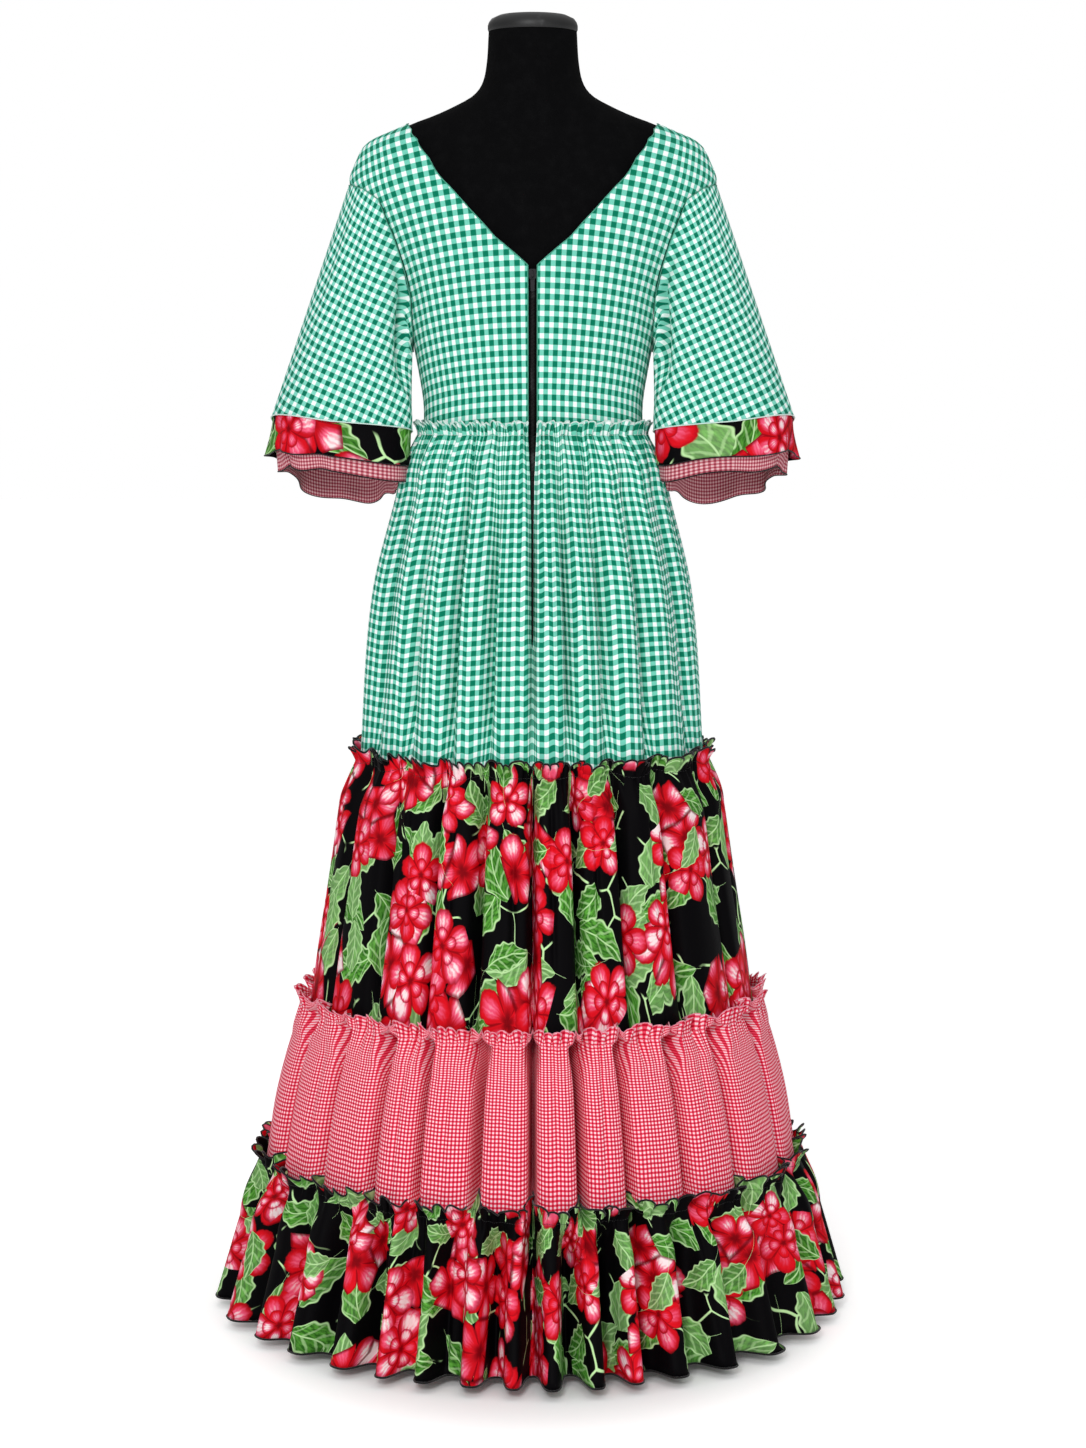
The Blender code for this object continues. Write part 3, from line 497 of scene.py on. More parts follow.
def flat_map(graph, turn=0.0, size=1.0):
    node = graph.add("ShaderNodeUVMap", uv_map=FLAT_MAP)
    mapping = graph.add("ShaderNodeMapping")
    mapping.inputs["Rotation"].default_value = (0.0, 0.0, turn)
    mapping.inputs["Scale"].default_value = (size, size, 1.0)
    graph.feed(mapping.inputs["Vector"], node.outputs[0])
    return mapping.outputs[0]


def check_material(name, repeat, stripe, colours, turn=0.0):
    material, graph, shader = new_material(name)
    group = graph.add("ShaderNodeGroup", node_tree=bpy.data.node_groups["woven_check"])
    graph.feed(group.inputs["Vector"], flat_map(graph, turn))
    for label, value in zip(("Across", "Down", "Stripe"), (*repeat, stripe)):
        group.inputs[label].default_value = value
    for label, value in zip(("White", "Half", "Full"), colours):
        group.inputs[label].default_value = value
    graph.feed(shader.inputs["Base Color"], group.outputs["Color"])
    cotton(shader)
    bumped(graph, shader, group.outputs["Height"], 0.0003, 0.6)
    return material


def print_material(name, turn=0.0, size=1.0):
    material, graph, shader = new_material(name)
    group = graph.add("ShaderNodeGroup", node_tree=bpy.data.node_groups["floral_print"])
    uv = flat_map(graph, turn, size)
    graph.feed(group.inputs["Vector"], uv)
    graph.feed(shader.inputs["Base Color"], group.outputs["Color"])
    cotton(shader, 0.62, 0.0, 0.05)
    bumped(graph, shader, graph.noise(uv, 900.0, 2.0), 0.0003, 0.5)
    return material


GREENS = (srgb(250, 255, 254), srgb(116, 208, 186), srgb(0, 120, 90))
SLEEVE_GREENS = (srgb(248, 255, 253), srgb(128, 214, 194), srgb(0, 118, 90))
PINKS = (srgb(255, 222, 230), srgb(238, 72, 102), srgb(202, 8, 44))
# A duller, greyer copy of the pink gingham: painted shade for the pink cuff ruffle, which hangs in shadow
# under the floral one.
PINKS_PAINTED_SHADE = (srgb(236, 196, 200), srgb(204, 112, 124), srgb(150, 52, 70))
GREEN = check_material("green_gingham", GREEN_REPEAT, 0.54, GREENS)
GREEN_SKIRT = check_material("green_gingham_skirt", SKIRT_REPEAT, 0.56, GREENS)
GREEN_BIAS = {
    "right": check_material("green_gingham_bias_right", SLEEVE_REPEAT, 0.54, SLEEVE_GREENS, SLEEVE_BIAS),
    "left": check_material("green_gingham_bias_left", SLEEVE_REPEAT, 0.54, SLEEVE_GREENS, -SLEEVE_BIAS),
}
PINK_CHECK = check_material("pink_gingham", PINK_REPEAT, 0.50, PINKS)
PINK_PAINTED_SHADE = check_material("pink_gingham_painted_shade", PINK_REPEAT, 0.50, PINKS_PAINTED_SHADE)
FLORAL = print_material("floral_cotton", 0.0, 1.12)
FLORAL_CUFF = print_material("floral_cotton_cuff", math.radians(20.0), 0.95)
print("cloth materials", [m.name for m in (GREEN, PINK_CHECK, FLORAL)])

# %% [markdown]
# Thread, jersey and metal need no pattern of their own. A fine noise in real size gives thread its
# loops, jersey its lint and metal its grain, and it reads the place in the object, because these pieces
# have no flat map.

# %% Thread, form and metal materials
def thread_material(name, colour):
    """Overlock thread: short slanted loops round the cloth's edge."""
    material, graph, shader = new_material(name)
    place = graph.add("ShaderNodeTexCoord").outputs["Object"]
    loops = graph.noise(place, 1100.0, 1.0)
    shade = graph.math("MULTIPLY_ADD", loops, 0.6, 0.7)
    graph.feed(shader.inputs["Base Color"], graph.scaled(colour[:3], shade))
    cotton(shader, 0.6, 0.2)
    bumped(graph, shader, loops, 0.0006)
    return material


def jersey_material(name, colour):
    """The form's stretched black jersey: a fine knit with a soft bloom of lint."""
    material, graph, shader = new_material(name)
    place = graph.add("ShaderNodeTexCoord").outputs["Object"]
    wales = graph.noise(graph.vector("MULTIPLY", place, (1.0, 1.0, 0.4)), 1300.0, 1.0)
    lint = graph.rise(graph.noise(place, 60.0, 4.0, 0.7), 0.40, 0.75)
    cloth = graph.mix(graph.product(lint, 0.25), colour, srgb(22, 22, 23))
    graph.feed(shader.inputs["Base Color"], graph.scaled(cloth, graph.math("MULTIPLY_ADD", wales, 0.5, 0.75)))
    cotton(shader, 0.90, 0.0, 0.04)
    bumped(graph, shader, wales, 0.0004, 0.7)
    return material


def metal_material(name, colour, roughness, metallic):
    """Painted or plated metal: fine grain, and rubbed spots where hands and the floor touch it."""
    material, graph, shader = new_material(name)
    place = graph.add("ShaderNodeTexCoord").outputs["Object"]
    grain = graph.noise(place, 420.0, 3.0)
    rubbed = graph.rise(graph.noise(place, 40.0, 3.0), 0.55, 0.72)
    base = graph.mix(graph.product(rubbed, 0.3), colour, srgb(150, 150, 152))
    graph.feed(shader.inputs["Base Color"], graph.scaled(base, graph.math("MULTIPLY_ADD", grain, 0.3, 0.85)))
    graph.feed(shader.inputs["Roughness"], graph.math("MULTIPLY_ADD", rubbed, -0.12, roughness))
    shader.inputs["Metallic"].default_value = metallic
    bumped(graph, shader, grain, 0.0002, 0.4)
    return material


BLACK_THREAD = thread_material("black_overlock", srgb(16, 14, 16))
SEAM_GREEN = thread_material("green_seam", srgb(70, 160, 134))
WHITE_THREAD = thread_material("white_edge", srgb(214, 236, 229))
PINK_THREAD = thread_material("pink_edge", srgb(244, 150, 170))
JERSEY = jersey_material("black_jersey", srgb(8, 8, 9))
CAP_BLACK = metal_material("cap_black", srgb(15, 15, 16), 0.5, 0.0)
STAND_BLACK = metal_material("stand_black", srgb(20, 20, 21), 0.4, 0.0)
ZIP_METAL = metal_material("zip_dark_metal", srgb(34, 34, 36), 0.42, 0.9)
ZIP_TEETH = metal_material("zip_teeth", srgb(13, 13, 14), 0.45, 0.0)
ZIP_CLOTH = jersey_material("zip_tape", srgb(8, 8, 9))
print("materials", len(bpy.data.materials))

# %% [markdown]
# The body sizes come from the dress's cut: half widths and depths at a few heights. A smooth curve runs
# through each column of the table, and an angle round the body picks the point. The shell repeats the
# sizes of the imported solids, so it lies on them.

# %% The body's sections
Section = namedtuple("Section", "z half_width back front")
Ring = namedtuple("Ring", "z half_width back front fold")
Tier = namedtuple("Tier", "heading stitch rings")
Wobble = namedtuple("Wobble", "size times start")
Edge = namedtuple("Edge", "across z")

FORM = [
    Section(0.800, 0.1500, 0.1080, 0.0980),
    Section(0.860, 0.1590, 0.1180, 0.1020),
    Section(0.920, 0.1520, 0.1100, 0.0960),
    Section(0.975, 0.1390, 0.0980, 0.0880),
    Section(1.015, 0.1265, 0.0915, 0.0850),
    Section(1.034, 0.1240, 0.0900, 0.0850),
    Section(1.070, 0.1242, 0.0905, 0.0890),
    Section(1.115, 0.1305, 0.0930, 0.0990),
    Section(1.160, 0.1388, 0.0955, 0.1120),
    Section(1.195, 0.1440, 0.0968, 0.1178),
    Section(1.240, 0.1560, 0.0970, 0.1110),
    Section(1.280, 0.1730, 0.0955, 0.0980),
    Section(1.315, 0.1830, 0.0870, 0.0775),
    Section(1.342, 0.1855, 0.0775, 0.0620),
    Section(1.360, 0.1825, 0.0700, 0.0540),
    Section(1.3715, 0.1740, 0.0645, 0.0500),
    Section(1.3810, 0.1600, 0.0605, 0.0480),
    Section(1.3908, 0.1425, 0.0588, 0.0480),
    Section(1.4010, 0.1150, 0.0578, 0.0485),
    Section(1.4105, 0.0935, 0.0572, 0.0495),
    Section(1.423, 0.0705, 0.0565, 0.0505),
    Section(1.437, 0.0590, 0.0550, 0.0510),
    Section(1.460, 0.0535, 0.0530, 0.0510),
    Section(1.4965, 0.0510, 0.0505, 0.0505),
]
BODICE = [
    Section(1.022, 0.1285, 0.0950, 0.0890),
    Section(1.034, 0.1280, 0.0945, 0.0888),
    Section(1.070, 0.1280, 0.0950, 0.0930),
    Section(1.115, 0.1350, 0.0982, 0.1042),
    Section(1.160, 0.1440, 0.1012, 0.1182),
    Section(1.195, 0.1500, 0.1025, 0.1242),
    Section(1.226, 0.1590, 0.1030, 0.1212),
    Section(1.260, 0.1740, 0.1018, 0.1110),
    Section(1.290, 0.1920, 0.0988, 0.0985),
    Section(1.315, 0.2090, 0.0938, 0.0850),
    Section(1.328, 0.2130, 0.0905, 0.0780),
    Section(1.351, 0.2045, 0.0812, 0.0655),
    Section(1.365, 0.1970, 0.0745, 0.0590),
    Section(1.374, 0.1860, 0.0700, 0.0560),
    Section(1.383, 0.1660, 0.0660, 0.0540),
    Section(1.3925, 0.1440, 0.0635, 0.0530),
]


def between(rows, z):
    """The table's values at a height, on a smooth curve through its rows, which run upwards."""
    z = min(max(z, rows[0].z), rows[-1].z)
    i = max(k for k in range(len(rows) - 1) if rows[k].z <= z)
    low, high = rows[i], rows[i + 1]
    before, after = rows[max(i - 1, 0)], rows[min(i + 2, len(rows) - 1)]
    span = high.z - low.z
    share = (z - low.z) / span
    values = []
    for a, b, c, d in zip(before[1:], low[1:], high[1:], after[1:]):
        slope_low = (c - a) / (high.z - before.z) * span
        slope_high = (d - b) / (after.z - low.z) * span
        values.append(
            (2 * share**3 - 3 * share**2 + 1) * b
            + (share**3 - 2 * share**2 + share) * slope_low
            + (3 * share**2 - 2 * share**3) * c
            + (share**3 - share**2) * slope_high
        )
    return values


@lru_cache(maxsize=None)
def form_values(z):
    return between(FORM, z)


@lru_cache(maxsize=None)
def bodice_values(z):
    return between(BODICE, z)


def on_section(values, angle):
    """(x, y) on a section; the angle runs from the centre back towards +X."""
    half_width, back, front = values[:3]
    depth = back if math.cos(angle) > 0 else front
    return half_width * math.sin(angle), -depth * math.cos(angle)


def section_point(values, angle, z):
    return Vector((*on_section(values, angle), z))


print("bodice at the waist", [round(v, 4) for v in bodice_values(1.034)])

# %% [markdown]
# Every cloth starts as Blender's flat grid. Its corners are first noted as places on the flat cloth, in
# metres, which becomes the map that prints and weaves read. Then each point is moved to where the
# sewing holds it. Last come smooth shading and a Solidify modifier for the thickness of the cotton.

# %% Helpers for cloth, edges and stitches
CLOTH_WALL = 0.0007
JOIN = 0.00002


def finish_piece(name, mesh, material, slot):
    mesh.shade_smooth()
    piece = bpy.data.objects.new(name, mesh)
    piece.data.materials.append(material)
    bpy.context.scene.collection.objects.link(piece)
    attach(piece, DRESS)
    return piece


def as_mesh(name, shape):
    mesh = bpy.data.meshes.new(name)
    shape.to_mesh(mesh)
    shape.free()
    return mesh


def cloth(name, columns, rows, place, flat, material, slot):
    """A grid of cloth: place(across, down) puts a point in the round, flat(across, down) on the cut."""
    sheet = bmesh.new()
    bmesh.ops.create_grid(sheet, x_segments=columns, y_segments=rows, size=0.5)
    layer = sheet.loops.layers.uv.new(FLAT_MAP)
    for face in sheet.faces:
        for loop in face.loops:
            loop[layer].uv = flat(loop.vert.co.x + 0.5, 0.5 - loop.vert.co.y)
    for vert in sheet.verts:
        vert.co = place(vert.co.x + 0.5, 0.5 - vert.co.y)
    edges = [vert for vert in sheet.verts if vert.is_boundary]
    bmesh.ops.remove_doubles(sheet, verts=edges, dist=JOIN)
    sheet.normal_update()
    return finish_piece(name, as_mesh(name, sheet), material, slot)


def thicken(piece):
    solid = piece.modifiers.new("thickness", "SOLIDIFY")
    solid.thickness = CLOTH_WALL
    solid.offset = -1.0


def outwards(piece, axis=(0.0, 0.0)):
    """Turns a piece's faces away from an upright line at (x, y), and gives the piece its thickness."""
    total = 0.0
    for face in piece.data.polygons:
        away = Vector((face.center.x - axis[0], face.center.y - axis[1], 0.0))
        total += face.normal.dot(away) * face.area
    if total < 0:
        piece.data.flip_normals()
    thicken(piece)
    return piece


def area_of(piece):
    return sum(face.area for face in piece.data.polygons)


def tube(name, paths, radius, material, slot, closed=False, sides=2):
    """Round threads along one or several paths, as one mesh."""
    curve = bpy.data.curves.new(name, "CURVE")
    curve.dimensions = "3D"
    curve.bevel_depth = radius
    curve.bevel_resolution = sides
    curve.use_fill_caps = not closed
    for path in paths:
        spline = curve.splines.new("POLY")
        spline.points.add(len(path) - 1)
        for point, where in zip(spline.points, path):
            point.co = (*where, 1.0)
        spline.use_cyclic_u = closed
    guide = bpy.data.objects.new(name + "_guide", curve)
    mesh = bpy.data.meshes.new_from_object(guide)
    bpy.data.objects.remove(guide)
    bpy.data.curves.remove(curve)
    mesh.name = name
    mesh.materials.clear()
    return finish_piece(name, mesh, material, slot)


def running_lengths(points):
    """How far along the line each of its points lies."""
    lengths = [0.0]
    for a, b in zip(points, points[1:]):
        lengths.append(lengths[-1] + (b - a).length)
    return lengths


def stitch_paths(points, pitch, length, lift):
    """Short stitches along a line of points; each rises out of the cloth and dips at its ends."""
    lengths = running_lengths(points)
    paths = []
    k = 0
    place = 0.5 * pitch
    while place + length < lengths[-1]:
        found = []
        for share, raised in ((0.0, 0.0), (0.5, 1.0), (1.0, 0.0)):
            at = place + share * length
            while lengths[k + 1] < at:
                k += 1
            part = (at - lengths[k]) / (lengths[k + 1] - lengths[k])
            point = points[k].lerp(points[k + 1], part)
            out = Vector((point.x, point.y, 0.0)).normalized()
            found.append(point + raised * lift * out)
        paths.append(found)
        place += pitch
    return paths


print("cloth helpers ready")

# %% [markdown]
# The folds of all tiers share one unevenness round the body: they stand closer at the centre back and
# centre front and wider at the sides, and no two are equally deep. Each tier then has its own wave,
# with broad crests and narrow valleys as gathered cotton has, and fuller pillows on the pink tier.

# %% Folds round the body
GATHERED_FOLDS = 20
PINK_FOLDS = 24
HEM_FOLDS = 36
VALLEY_NARROWNESS = 3
ZIP_FLAT = 0.02
ZIP_FADE = 0.05
FOLD_SPACING = [
    Wobble(-0.150, 2, 0.0),
    Wobble(0.020, 5, 0.8),
    Wobble(0.011, 9, 2.1),
    Wobble(0.007, 13, 4.0),
]
FOLD_DEPTH = [Wobble(0.22, 3, 1.1), Wobble(0.16, 8, 0.3)]
HEM_BEND = [Wobble(0.8, 4, 0.5), Wobble(0.5, 8, 2.0)]
PILLOW_FULLNESS = 3.8
PLEAT_FULLNESS = 2.6
PLEAT_LEAN = 0.12
BOXINESS = 1.7                # how flat the hem flounce's crests and valleys are


def wobbling(wobbles, turn):
    return sum(w.size * math.sin(math.tau * w.times * turn + w.start) for w in wobbles)


@lru_cache(maxsize=None)
def uneven(turn):
    return math.tau * turn + wobbling(FOLD_SPACING, turn) - wobbling(FOLD_SPACING, 0.0)


@lru_cache(maxsize=None)
def fold_depths(turn):
    return 1.0 + wobbling(FOLD_DEPTH, turn)


@lru_cache(maxsize=None)
def gathers(turn):
    return 1.0 - 2.0 * abs(math.cos(math.pi * GATHERED_FOLDS * turn)) ** VALLEY_NARROWNESS


@lru_cache(maxsize=None)
def soft_gathers(turn):
    from_back = min(turn % 1.0, 1.0 - turn % 1.0)
    return gathers(turn) * min(1.0, max(0.0, (from_back - ZIP_FLAT) / ZIP_FADE))


def rounded(place, fullness):
    """A full round crest between two narrow valleys; place is 0 in one valley and 1 in the next."""
    across = min(1.0, abs(2.0 * place - 1.0))
    return 2.0 * math.sqrt(1.0 - across**fullness) - 1.0


@lru_cache(maxsize=None)
def pillows(turn):
    return rounded(PINK_FOLDS * turn % 1.0, PILLOW_FULLNESS)


@lru_cache(maxsize=None)
def pleats(turn):
    """Gathers that lean: each crest falls more sharply on one side."""
    number = round(GATHERED_FOLDS * turn - 0.5)
    place = GATHERED_FOLDS * turn - number
    place += PLEAT_LEAN * math.sin(1.7 * number + 0.4) * math.sin(math.tau * place)
    return rounded(min(1.0, max(0.0, place)), PLEAT_FULLNESS)


@lru_cache(maxsize=None)
def flounce(turn):
    bend = wobbling(HEM_BEND, turn) - wobbling(HEM_BEND, 0.0)
    wave = -math.cos(math.tau * HEM_FOLDS * turn + bend)
    return math.tanh(BOXINESS * wave) / math.tanh(BOXINESS)


print("folds", GATHERED_FOLDS, PINK_FOLDS, HEM_FOLDS)

# %% [markdown]
# A gathered tier is pulled up on two rows of thread and sewn over the edge of the tier above, a finger's
# width below its own edge. What stands above the stitches is the heading, a small ruffle. Below them
# run many small gathers, which die out at different lengths and leave the few large folds.

# %% Shape of a gathered tier
LAYER = 0.0022                # from the cloth below to the cloth sewn over it
HEADING_LEAN = 0.0030
FORM_CLEARANCE = 0.0035
NOTCH_WIDTH = 0.10             # of a fold: how wide the heading dips over each valley
VALLEY_FLARE = 1.1             # how much wider a valley is at the stitches than below
VALLEY_FLARE_REACH = 0.22      # of the tier's height
Gathering = namedtuple("Gathering", "count depth reach ruffle curl lift swell notch valley")
Valley = namedtuple("Valley", "folds depth width fade_top fade_bottom steepness")
Scallop = namedtuple("Scallop", "z low back drop reach wave")
Crease = namedtuple("Crease", "turn top bottom width depth lean")

TOP_TIER = Tier(1.047, 1.034, [
    Ring(0.662, 0.2000, 0.1930, 0.1880, 0.0050),
    Ring(0.850, 0.1810, 0.1590, 0.1520, 0.0080),
    Ring(0.975, 0.1530, 0.1170, 0.1100, 0.0042),
])
FLORAL_TIER = Tier(0.678, 0.664, [
    Ring(0.3795, 0.2558, 0.2478, 0.2398, 0.0085),
    Ring(0.490, 0.2350, 0.2290, 0.2210, 0.0100),
    Ring(0.600, 0.2215, 0.2150, 0.2080, 0.0070),
])
PINK_TIER = Tier(0.394, 0.380, [
    Ring(0.1945, 0.3018, 0.2968, 0.2848, 0.0150),
    Ring(0.255, 0.2870, 0.2820, 0.2710, 0.0175),
    Ring(0.335, 0.2690, 0.2640, 0.2540, 0.0145),
])
HEM_TIER = Tier(0.207, 0.195, [
    Ring(0.012, 0.3570, 0.3720, 0.3420, 0.0195),
    Ring(0.110, 0.3330, 0.3350, 0.3150, 0.0150),
])


@lru_cache(maxsize=None)
def gather_phase(turn, count):
    return math.tau * count * turn + 1.5 * math.sin(math.tau * 31 * turn + 0.6) + 1.1 * math.sin(
        math.tau * 43 * turn + 2.2)


@lru_cache(maxsize=None)
def gather_reach(turn):
    return 0.72 + 0.30 * math.sin(math.tau * 29 * turn + 1.0) + 0.24 * math.sin(math.tau * 53 * turn)


def crease_push(creases, turn, z):
    """How far the hand-placed creases move the cloth out here; a trough has a depth below 0."""
    push = 0.0
    for crease in creases:
        if not crease.bottom < z < crease.top:
            continue
        away = (turn - crease.turn + 0.5) % 1.0 - 0.5 - crease.lean * (crease.top - z)
        if abs(away) > 3.0 * crease.width:
            continue
        along = math.sin(math.pi * (z - crease.bottom) / (crease.top - crease.bottom))
        push += crease.depth * along**0.7 * math.exp(-((away / crease.width) ** 2))
    return push


def valley_push(valley, turn, down):
    """The narrow deep part of each valley, between the broad crests; down is 0 at the stitches."""
    place = valley.folds * turn % 1.0
    away = min(place, 1.0 - place)
    width = valley.width * (1.0 + VALLEY_FLARE * math.exp(-((down / VALLEY_FLARE_REACH) ** 2)))
    if away > 3.0 * width:
        return 0.0
    number = round(valley.folds * turn) % valley.folds
    uneven_depth = 0.92 + 0.25 * math.sin(2.4 * number + 0.7)
    fade = min(1.0, valley.fade_top * down) * min(1.0, valley.fade_bottom * (1.0 - down))
    return -valley.depth * uneven_depth * fade * math.exp(-((away / width) ** valley.steepness))


def scalloped(turn, z):
    """Seams hang a little lower on the crests than in the valleys; cloths above and below move together."""
    behind = 0.5 * (1.0 + math.cos(uneven(turn)))
    for seam in SCALLOPS:
        drop = seam.low + seam.back * behind + seam.drop * seam.wave(turn)
        z -= drop * math.exp(-(((z - seam.z) / seam.reach) ** 2))
    return z


SCALLOPS = [
    Scallop(0.664, 0.006, 0.006, 0.0030, 0.045, soft_gathers),
    Scallop(0.380, 0.005, 0.007, 0.0070, 0.045, pillows),
    Scallop(0.195, 0.008, 0.006, 0.0060, 0.045, pillows),
]


@lru_cache(maxsize=None)
def form_reach(turn, z):
    """How far from the middle the cloth must stay here, so that no valley reaches the dress form."""
    if z < FORM[0].z:
        return 0.0
    form = section_point(form_values(round(z, 5)), uneven(turn), z)
    return form.xy.length + FORM_CLEARANCE


def tier_surface(tier, wave, under, gathering, creases, inner_reach=None):
    """A function that gives a tier's point at (turn, height); under is the surface that it is sewn on."""
    first = tier.rings[-1]
    bottom = tier.rings[0].z

    @lru_cache(maxsize=None)
    def ring_values(z):
        return between(tier.rings, z)

    def own(turn, z):
        values = ring_values(z)
        x, y = on_section(values, uneven(turn))
        flat = Vector((x, y, 0.0))
        return flat + values[3] * wave(turn) * fold_depths(turn) * flat.normalized()

    @lru_cache(maxsize=None)
    def sewn_at(turn):
        point = under(turn, tier.stitch)
        flat = Vector((point.x, point.y, 0.0))
        return flat + LAYER * flat.normalized()

    @lru_cache(maxsize=None)
    def first_point(turn):
        return own(turn, first.z)

    def place(turn, z):
        phase = gather_phase(turn, gathering.count)
        if z > tier.stitch:
            between_folds = gathering.valley.folds * turn % 1.0
            between_folds = min(between_folds, 1.0 - between_folds) / NOTCH_WIDTH
            notch = gathering.notch * math.exp(-(between_folds**2))
            z = tier.stitch + (z - tier.stitch) * (1.0 - notch)
            share = (z - tier.stitch) / (tier.heading - tier.stitch)
            point = under(turn, z)
            flat = Vector((point.x, point.y, 0.0))
            out = flat.normalized()
            aside = Vector((-out.y, out.x, 0.0))
            ruffle = gathering.ruffle * (1.0 + 0.3 * math.sin(0.37 * phase))
            reach = LAYER + share * HEADING_LEAN + ruffle * share**1.3 * (1.0 + math.cos(phase))
            reach += gathering.depth * (1.0 - share) * (1.0 + math.cos(phase))
            reach += gathering.swell * (1.0 + wave(turn))
            swing = gathering.curl * share**1.2 * math.sin(phase + 0.8)
            lift = gathering.lift * share * (math.sin(phase + 2.2) + 0.6 * math.sin(0.31 * phase + 0.4))
            spot = flat + reach * out + swing * aside
            return Vector((spot.x, spot.y, scalloped(turn, z) + lift))
        drop = tier.stitch - z
        if z > first.z:
            share = drop / (tier.stitch - first.z)
            share = 1.0 - (1.0 - share) ** 1.6
            sewn = sewn_at(turn)
            sewn = sewn + gathering.swell * (1.0 + wave(turn)) * sewn.normalized()
            flat = sewn.lerp(first_point(turn), share)
        else:
            flat = own(turn, z)
        out = flat.normalized()
        length = gathering.reach * gather_reach(turn)
        fade = math.exp(-((drop / length) ** 1.2))
        small = gathering.depth * (1.0 + math.cos(phase)) * fade
        deep = valley_push(gathering.valley, turn, drop / (tier.stitch - bottom))
        flat = flat + (small + deep + crease_push(creases, turn, z)) * out
        if inner_reach:
            flat = max(flat.length, inner_reach(turn, z)) * flat.normalized()
        return Vector((flat.x, flat.y, scalloped(turn, z)))

    return place


def waist(turn, z):
    return section_point(bodice_values(z), uneven(turn), z)


print("tier surfaces ready")

# %% [markdown]
# The large folds come from the rules above, but cloth also keeps single creases. These are listed one
# by one, longer and deeper on the back where the photograph shows them, and like ones on the other sides.

# %% Creases and the four surfaces
TOP_CREASES = [
    Crease(0.036, 1.03, 0.70, 0.0045, -0.0030, -0.004),
    Crease(0.962, 1.03, 0.68, 0.0045, -0.0032, 0.004),
    Crease(0.078, 1.03, 0.72, 0.0040, -0.0026, 0.010),
    Crease(0.122, 1.02, 0.76, 0.0050, 0.0024, 0.020),
    Crease(0.905, 1.03, 0.66, 0.0050, -0.0034, 0.006),
    Crease(0.862, 1.02, 0.74, 0.0045, 0.0022, -0.010),
    Crease(0.180, 1.00, 0.70, 0.0060, -0.0030, 0.010),
    Crease(0.820, 1.00, 0.70, 0.0060, -0.0030, -0.010),
    Crease(0.330, 1.02, 0.72, 0.0055, -0.0028, 0.004),
    Crease(0.415, 1.02, 0.68, 0.0045, -0.0030, 0.006),
    Crease(0.470, 1.02, 0.75, 0.0040, 0.0022, 0.002),
    Crease(0.560, 1.02, 0.70, 0.0045, -0.0030, -0.004),
    Crease(0.655, 1.02, 0.72, 0.0055, -0.0026, -0.008),
]
FLORAL_CREASES = [
    Crease(0.022, 0.66, 0.42, 0.0030, -0.0050, 0.004),
    Crease(0.073, 0.66, 0.40, 0.0028, -0.0045, -0.006),
    Crease(0.130, 0.66, 0.46, 0.0032, -0.0050, 0.006),
    Crease(0.980, 0.66, 0.39, 0.0028, -0.0055, -0.002),
    Crease(0.925, 0.66, 0.44, 0.0032, -0.0050, 0.006),
    Crease(0.872, 0.65, 0.40, 0.0030, -0.0045, 0.004),
    Crease(0.228, 0.66, 0.42, 0.0040, -0.0050, 0.004),
    Crease(0.322, 0.66, 0.40, 0.0035, -0.0045, -0.004),
    Crease(0.425, 0.66, 0.44, 0.0030, -0.0050, 0.002),
    Crease(0.525, 0.66, 0.40, 0.0028, -0.0050, -0.004),
    Crease(0.630, 0.66, 0.42, 0.0032, -0.0045, 0.006),
    Crease(0.775, 0.66, 0.41, 0.0038, -0.0050, -0.004),
]
PINK_CREASES = [
    Crease(0.020, 0.375, 0.22, 0.0022, -0.0030, 0.010),
    Crease(0.064, 0.375, 0.20, 0.0024, -0.0034, -0.010),
    Crease(0.146, 0.375, 0.24, 0.0030, -0.0030, 0.012),
    Crease(0.938, 0.375, 0.21, 0.0024, -0.0032, 0.006),
    Crease(0.896, 0.375, 0.20, 0.0026, -0.0034, -0.008),
    Crease(0.818, 0.375, 0.22, 0.0030, -0.0036, 0.006),
    Crease(0.352, 0.375, 0.21, 0.0030, -0.0034, 0.006),
    Crease(0.478, 0.375, 0.22, 0.0024, -0.0030, -0.006),
    Crease(0.605, 0.375, 0.20, 0.0024, -0.0032, 0.008),
    Crease(0.687, 0.375, 0.22, 0.0030, -0.0034, -0.006),
]
HEM_CREASES = [
    Crease(k / 9 + 0.017 * math.sin(2.3 * k), 0.19, 0.02, 0.0022, -0.0040, 0.02 * math.sin(1.9 * k))
    for k in range(9)
]
TOP_VALLEY = Valley(GATHERED_FOLDS, 0.0190, 0.090, 2.3, 5.0, 2)
FLORAL_VALLEY = Valley(GATHERED_FOLDS, 0.0210, 0.075, 9.0, 6.0, 2)
PINK_VALLEY = Valley(PINK_FOLDS, 0.0420, 0.075, 30.0, 14.0, 4)
HEM_VALLEY = Valley(HEM_FOLDS, 0.0200, 0.120, 6.0, 99.0, 3)
TOP_GATHERING = Gathering(100, 0.0026, 0.090, 0.0030, 0.0020, 0.0025, 0.0000, 0.0, TOP_VALLEY)
FLORAL_GATHERING = Gathering(112, 0.0019, 0.045, 0.0042, 0.0026, 0.0036, 0.0000, 0.2, FLORAL_VALLEY)
PINK_GATHERING = Gathering(132, 0.0017, 0.042, 0.0040, 0.0027, 0.0032, 0.0034, 0.8, PINK_VALLEY)
HEM_GATHERING = Gathering(120, 0.0024, 0.040, 0.0056, 0.0036, 0.0044, 0.0010, 0.3, HEM_VALLEY)

